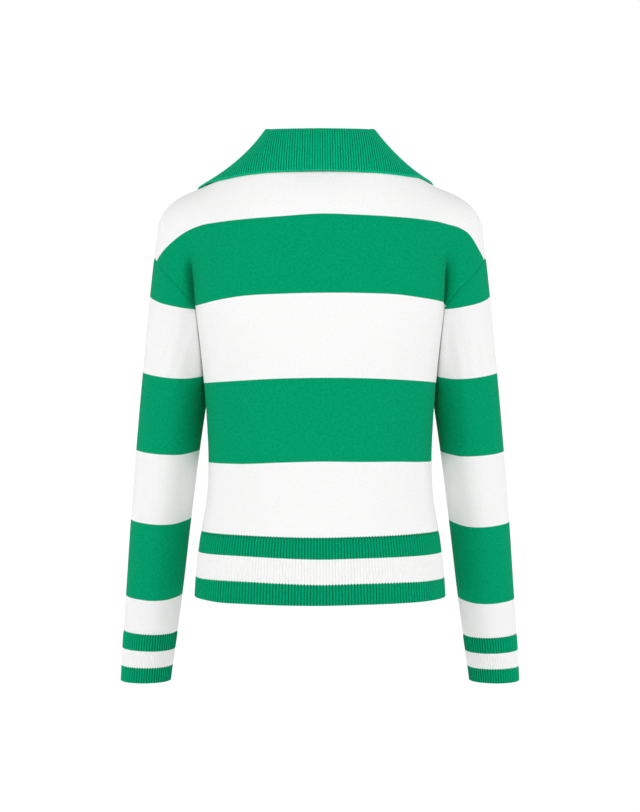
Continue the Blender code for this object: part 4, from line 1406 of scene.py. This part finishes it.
# %% [markdown]
# ## The zip
# The front's slit is closed by a zip with two woven tapes. Below the slider the tapes lie side
# by side and their teeth interlock, above it they open in a V and run up the front ends of the
# collar. A tape is a narrow sheet, so it is made like the cloth, from two lines of points.

# %% Zip tapes
TAPE_SINK = 0.4
TAPE_COLLAR_GAP = 0.6
TAPE_COLUMNS = 6


def sunk_distance(p):
    """Distance from the face of a tape that lies sunk in the slit."""
    return panel_distance(p) + TAPE_SINK


def tape_lines():
    """The outer and the inner line of the left tape, from the zip's foot to the collar's edge."""
    top = float(neckline(np.array([COLLAR_END_TURN]))[0, 2])
    heights = np.append(np.linspace(SLIT_BOTTOM + SEAM_GAP, UNDERARM, 16),
                        np.linspace(UNDERARM, top, 48)[1:-3])
    edge = read(SLIT, heights)[0] - SEAM_GAP
    slit = []
    for out in (edge, np.maximum(edge - TAPE_WIDTH, SEAM_GAP / 2)):
        line = points(out, -START_DEPTH, heights)
        slit.append(settle_along(sunk_distance, line, axis=1, least=-0.3))
    end, before = left_collar[-1], left_collar[-4]
    way = (end - before) / np.linalg.norm(end - before, axis=-1, keepdims=True)
    rim = [end + way * TAPE_COLLAR_GAP, end + way * (TAPE_COLLAR_GAP + TAPE_WIDTH)]
    return [np.vstack([slit[index], rim[index]]) for index in (0, 1)]


def tape_piece(side, name, skin):
    """Zip tape on the wearer's left (side 1) or right (side -1)."""
    outer_line, inner_line = tape_edges
    shares = np.linspace(0, 1, TAPE_COLUMNS + 1)[None, :, None]
    grid = outer_line[:, None] * (1 - shares) + inner_line[:, None] * shares
    facing = normals_of_grid(grid)
    facing *= -np.sign(facing[0, 0, 1])
    along = lengths(grid, 0)
    flip = side_flip(side)
    bm = cloth_wall(grid * flip, (grid - facing * TAPE_THICK) * flip,
                    points(lengths(grid, 1), along), along)
    return new_piece(name + "_weave", bm, skin, name)


def woven_material(name):
    """Tightly woven green tape: threads over and under, with painted shade where they dip."""
    skin, tree, shader = new_skin(name)
    flat, across, along, _ = knit_coordinates(tree)
    weave = None
    for place, pitch in ((across, 0.7), (along, 0.5)):
        wave = calc(tree, "SINE", calc(tree, "MULTIPLY", place, math.pi / (pitch * MM)))
        weave = wave if weave is None else calc(tree, "MULTIPLY", weave, wave)
    weave = calc(tree, "MULTIPLY_ADD", weave, 0.5, 0.5)
    tone = use_group(tree, YARN, Position=flat, Size=0.0008)["Tone"]
    # painted shade where the threads dip, mixed with the yarn's random tone
    shade = calc(tree, "MULTIPLY_ADD", tone, 0.35, calc(tree, "MULTIPLY", weave, 0.5))
    dress(tree, shader, mixed(tree, shade, GREEN, TAPE_SHADE),
          calc(tree, "MULTIPLY_ADD", weave, 0.12, 0.68), (0.4, 0.00012, weave),
          Specular_IOR_Level=0.15, Sheen_Weight=0.04)
    return skin


TAPE_SHADE = (0.0004, 0.16, 0.07, 1.0)
tape_edges = tape_lines()
tape_weave = woven_material("woven tape, green")
tape_left = tape_piece(1, "zip_tape_left", tape_weave)
tape_right = tape_piece(-1, "zip_tape_right", tape_weave)

# %% [markdown]
# The teeth are small metal clamps at equal steps along each tape's inner edge. Below the slider
# those of one side stand between those of the other. There are a few hundred, so each one is
# only a cube with its edges bevelled once, and one bmesh holds a whole side.

# %% Zip teeth
TOOTH_PITCH = 2.0
TOOTH_SIZE = (3.0, 2.1, 0.9)
TOOTH_REACH = 0.95
TOOTH_BEVEL = 0.16
TOOTH_MARGINS = (2.5, 2.0)  # plain tape before the first tooth and after the last


def tooth_places(phase):
    """Place and axes (across, out of the cloth, along) of the teeth on the left tape's edge."""
    outer_line, inner_line = tape_edges
    run = lengths(inner_line[:, None], 0)[:, 0]
    before, after = TOOTH_MARGINS
    at = np.arange(before + phase * TOOTH_PITCH, run[-1] - after, TOOTH_PITCH)
    place = read_line(at, run, inner_line)
    across = unit(place - read_line(at, run, outer_line))
    along = read_line(at, run, np.gradient(inner_line, run, axis=0))
    out = unit(np.cross(along, across))
    out *= -np.sign(out[0, 1])
    along = np.cross(across, out)
    place = place - out * TAPE_THICK / 2
    return place, across, out, along


def teeth_piece(side, name, skin):
    """All the teeth of one tape, in one mesh."""
    phase = 0.0 if side > 0 else 0.5
    place, across, out, along = tooth_places(phase)
    flip = side_flip(side)
    bm = bmesh.new()
    for spot, *axes in zip(place, across, out, along):
        middle = spot + axes[0] * (TOOTH_REACH - TOOTH_SIZE[0] / 2)
        sides = [axis * flip * size * MM for axis, size in zip(axes, TOOTH_SIZE)]
        matrix = mathutils.Matrix([[*(side_way[row] for side_way in sides), 0] for row in range(3)]
                                  + [[0, 0, 0, 1]])
        matrix.translation = (middle * flip * MM).tolist()
        bmesh.ops.create_cube(bm, size=1.0, matrix=matrix)
    bmesh.ops.bevel(bm, geom=bm.edges[:], offset=TOOTH_BEVEL * MM, offset_type="OFFSET",
                    segments=1, profile=0.5, affect="EDGES", material=-1)
    bmesh.ops.recalc_face_normals(bm, faces=bm.faces[:])
    piece = new_object(name, bm, skin)
    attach(piece, "sweater")
    print(f"{name}: {len(place)} teeth")
    return piece


def metal_material(name, tone_low, tone_high, scale):
    """Tumbled metal: a soft shine that changes a little over the surface, with fine scratches."""
    skin, tree, shader = new_skin(name)
    place = node(tree, "ShaderNodeTexCoord").outputs["Object"]
    clouds = node(tree, "ShaderNodeTexNoise", Vector=place, Scale=scale, Detail=3.0)
    drawn = node(tree, "ShaderNodeMapping", Vector=place, Scale=(1.0, 1.0, 0.08))
    grain = node(tree, "ShaderNodeTexNoise", Vector=drawn.outputs[0], Scale=scale * 12,
                 Detail=2.0).outputs["Fac"]
    tone = ease(tree, clouds.outputs["Fac"], 0.35, 0.65)
    rough = calc(tree, "MULTIPLY_ADD", tone, 0.1, calc(tree, "MULTIPLY_ADD", grain, 0.12, 0.26))
    dress(tree, shader, mixed(tree, tone, tone_low, tone_high), rough, (0.2, 0.00003, grain),
          Metallic=1.0)
    return skin


nickel = metal_material("nickel, tumbled", (0.3, 0.3, 0.295, 1), (0.42, 0.42, 0.41, 1), 320.0)
teeth_left = teeth_piece(1, "zip_teeth_left", nickel)
teeth_right = teeth_piece(-1, "zip_teeth_right", nickel)
for name in ("zip_slider", "zip_pull", "zip_stop"):
    for place in frame["nodes"][name].material_slots:
        place.material = nickel
print("metal parts:", nickel.name)

# %% [markdown]
# ## The cut of the cloth
# The pieces of cloth and tape are gathered, and their area is added up.

sheets = (back, front, sleeve_left, sleeve_right, hem_back, hem_front, cuff_left, cuff_right,
          collar, tape_left, tape_right)
area = sum(face.area for piece in sheets for face in piece.data.polygons) / 2
print(len(sheets), "sheets with", round(area, 3), "m2 of knit and tape")

# %% [markdown]
# ## Light, floor and camera
# Soft light from large panels shows knitwear best: three around the back and three around the
# front light the edges and the middle of each side, and the pale surroundings fill the rest. The
# background is bright only to the camera, so that it doesn't wash the shadows out. The floor is
# pale paper, wide enough to lie under the whole view from above.

# %% Surroundings
AMBIENT = 0.34
BACKDROP = 1.05
MIDDLE = (0.0, 0.0, -0.33)
BROAD, TALL = (2.4, 2.0), (1.2, 2.2)
LIGHTS = (  # name, place, size, power
    ("light_left", (1.9, 1.1, 0.0), TALL, 19.2),
    ("light_right", (-1.9, 1.1, 0.0), TALL, 19.2),
    ("light_back", (0.0, 2.6, 0.85), BROAD, 33.3),
    ("light_front", (0.0, -2.7, 0.5), BROAD, 34.0),
    ("light_front_left", (1.9, -1.2, -0.1), TALL, 11.0),
    ("light_front_right", (-1.9, -1.2, -0.1), TALL, 11.0),
)
FLOOR_HEIGHT = -1.35
FLOOR_RADIUS = 2.1
world = bpy.data.worlds.new("studio")
bpy.context.scene.world = world
world.use_nodes = True
tree = world.node_tree
tree.nodes.clear()
seen = node(tree, "ShaderNodeLightPath").outputs["Is Camera Ray"]
dim = node(tree, "ShaderNodeBackground", Color=(1, 1, 1, 1), Strength=AMBIENT)
bright = node(tree, "ShaderNodeBackground", Color=(1, 1, 1, 1), Strength=BACKDROP)
both = node(tree, "ShaderNodeMixShader", n0=seen, n1=dim.outputs[0], n2=bright.outputs[0])
node(tree, "ShaderNodeOutputWorld", Surface=both.outputs[0])


def panel_light(name, place, size, power):
    """Soft rectangular light that faces the middle of the sweater."""
    lamp = bpy.data.lights.new(name, "AREA")
    lamp.shape = "RECTANGLE"
    lamp.size, lamp.size_y = size
    lamp.energy = power
    made = bpy.data.objects.new(name, lamp)
    bpy.context.scene.collection.objects.link(made)
    made.location = place
    made.visible_camera = False
    way = np.array(MIDDLE) - np.array(place)
    made.rotation_euler = mathutils.Vector(way).to_track_quat("-Z", "Y").to_euler()


for light in LIGHTS:
    panel_light(*light)
paper, tree, shader = new_skin("pale paper")
place = node(tree, "ShaderNodeTexCoord").outputs["Object"]
grain = node(tree, "ShaderNodeTexNoise", Vector=place, Scale=400.0, Detail=2.0).outputs["Fac"]
tree.links.new(mixed(tree, grain, (0.8, 0.8, 0.8, 1), (0.85, 0.85, 0.85, 1)),
               shader["Base Color"])
shader["Roughness"].default_value = 0.9
floor = bmesh.new()
bmesh.ops.create_circle(floor, cap_ends=True, radius=FLOOR_RADIUS, segments=64)
bmesh.ops.translate(floor, verts=floor.verts[:], vec=(0, 0, FLOOR_HEIGHT))
new_object("floor", floor, paper)
print(len(LIGHTS), "lights, floor at", FLOOR_HEIGHT, "m")

# %% [markdown]
# The camera stands level, a little over two metres behind the sweater, with a long lens. That
# keeps the stripes straight and lets both sleeves look alike, as in most pictures of clothes.

# %% Camera
camera_data = bpy.data.cameras.new("camera")
camera_data.lens = 76.2
camera_data.sensor_width = 36
camera = bpy.data.objects.new("camera", camera_data)
camera.location = (0.0, 2.2, -0.3213)
camera.rotation_euler = (math.radians(90), 0.0, math.radians(180))
bpy.context.scene.collection.objects.link(camera)
bpy.context.scene.camera = camera
bpy.context.scene.view_settings.view_transform = "Standard"
print("camera", camera.location.y, "m behind the neck")
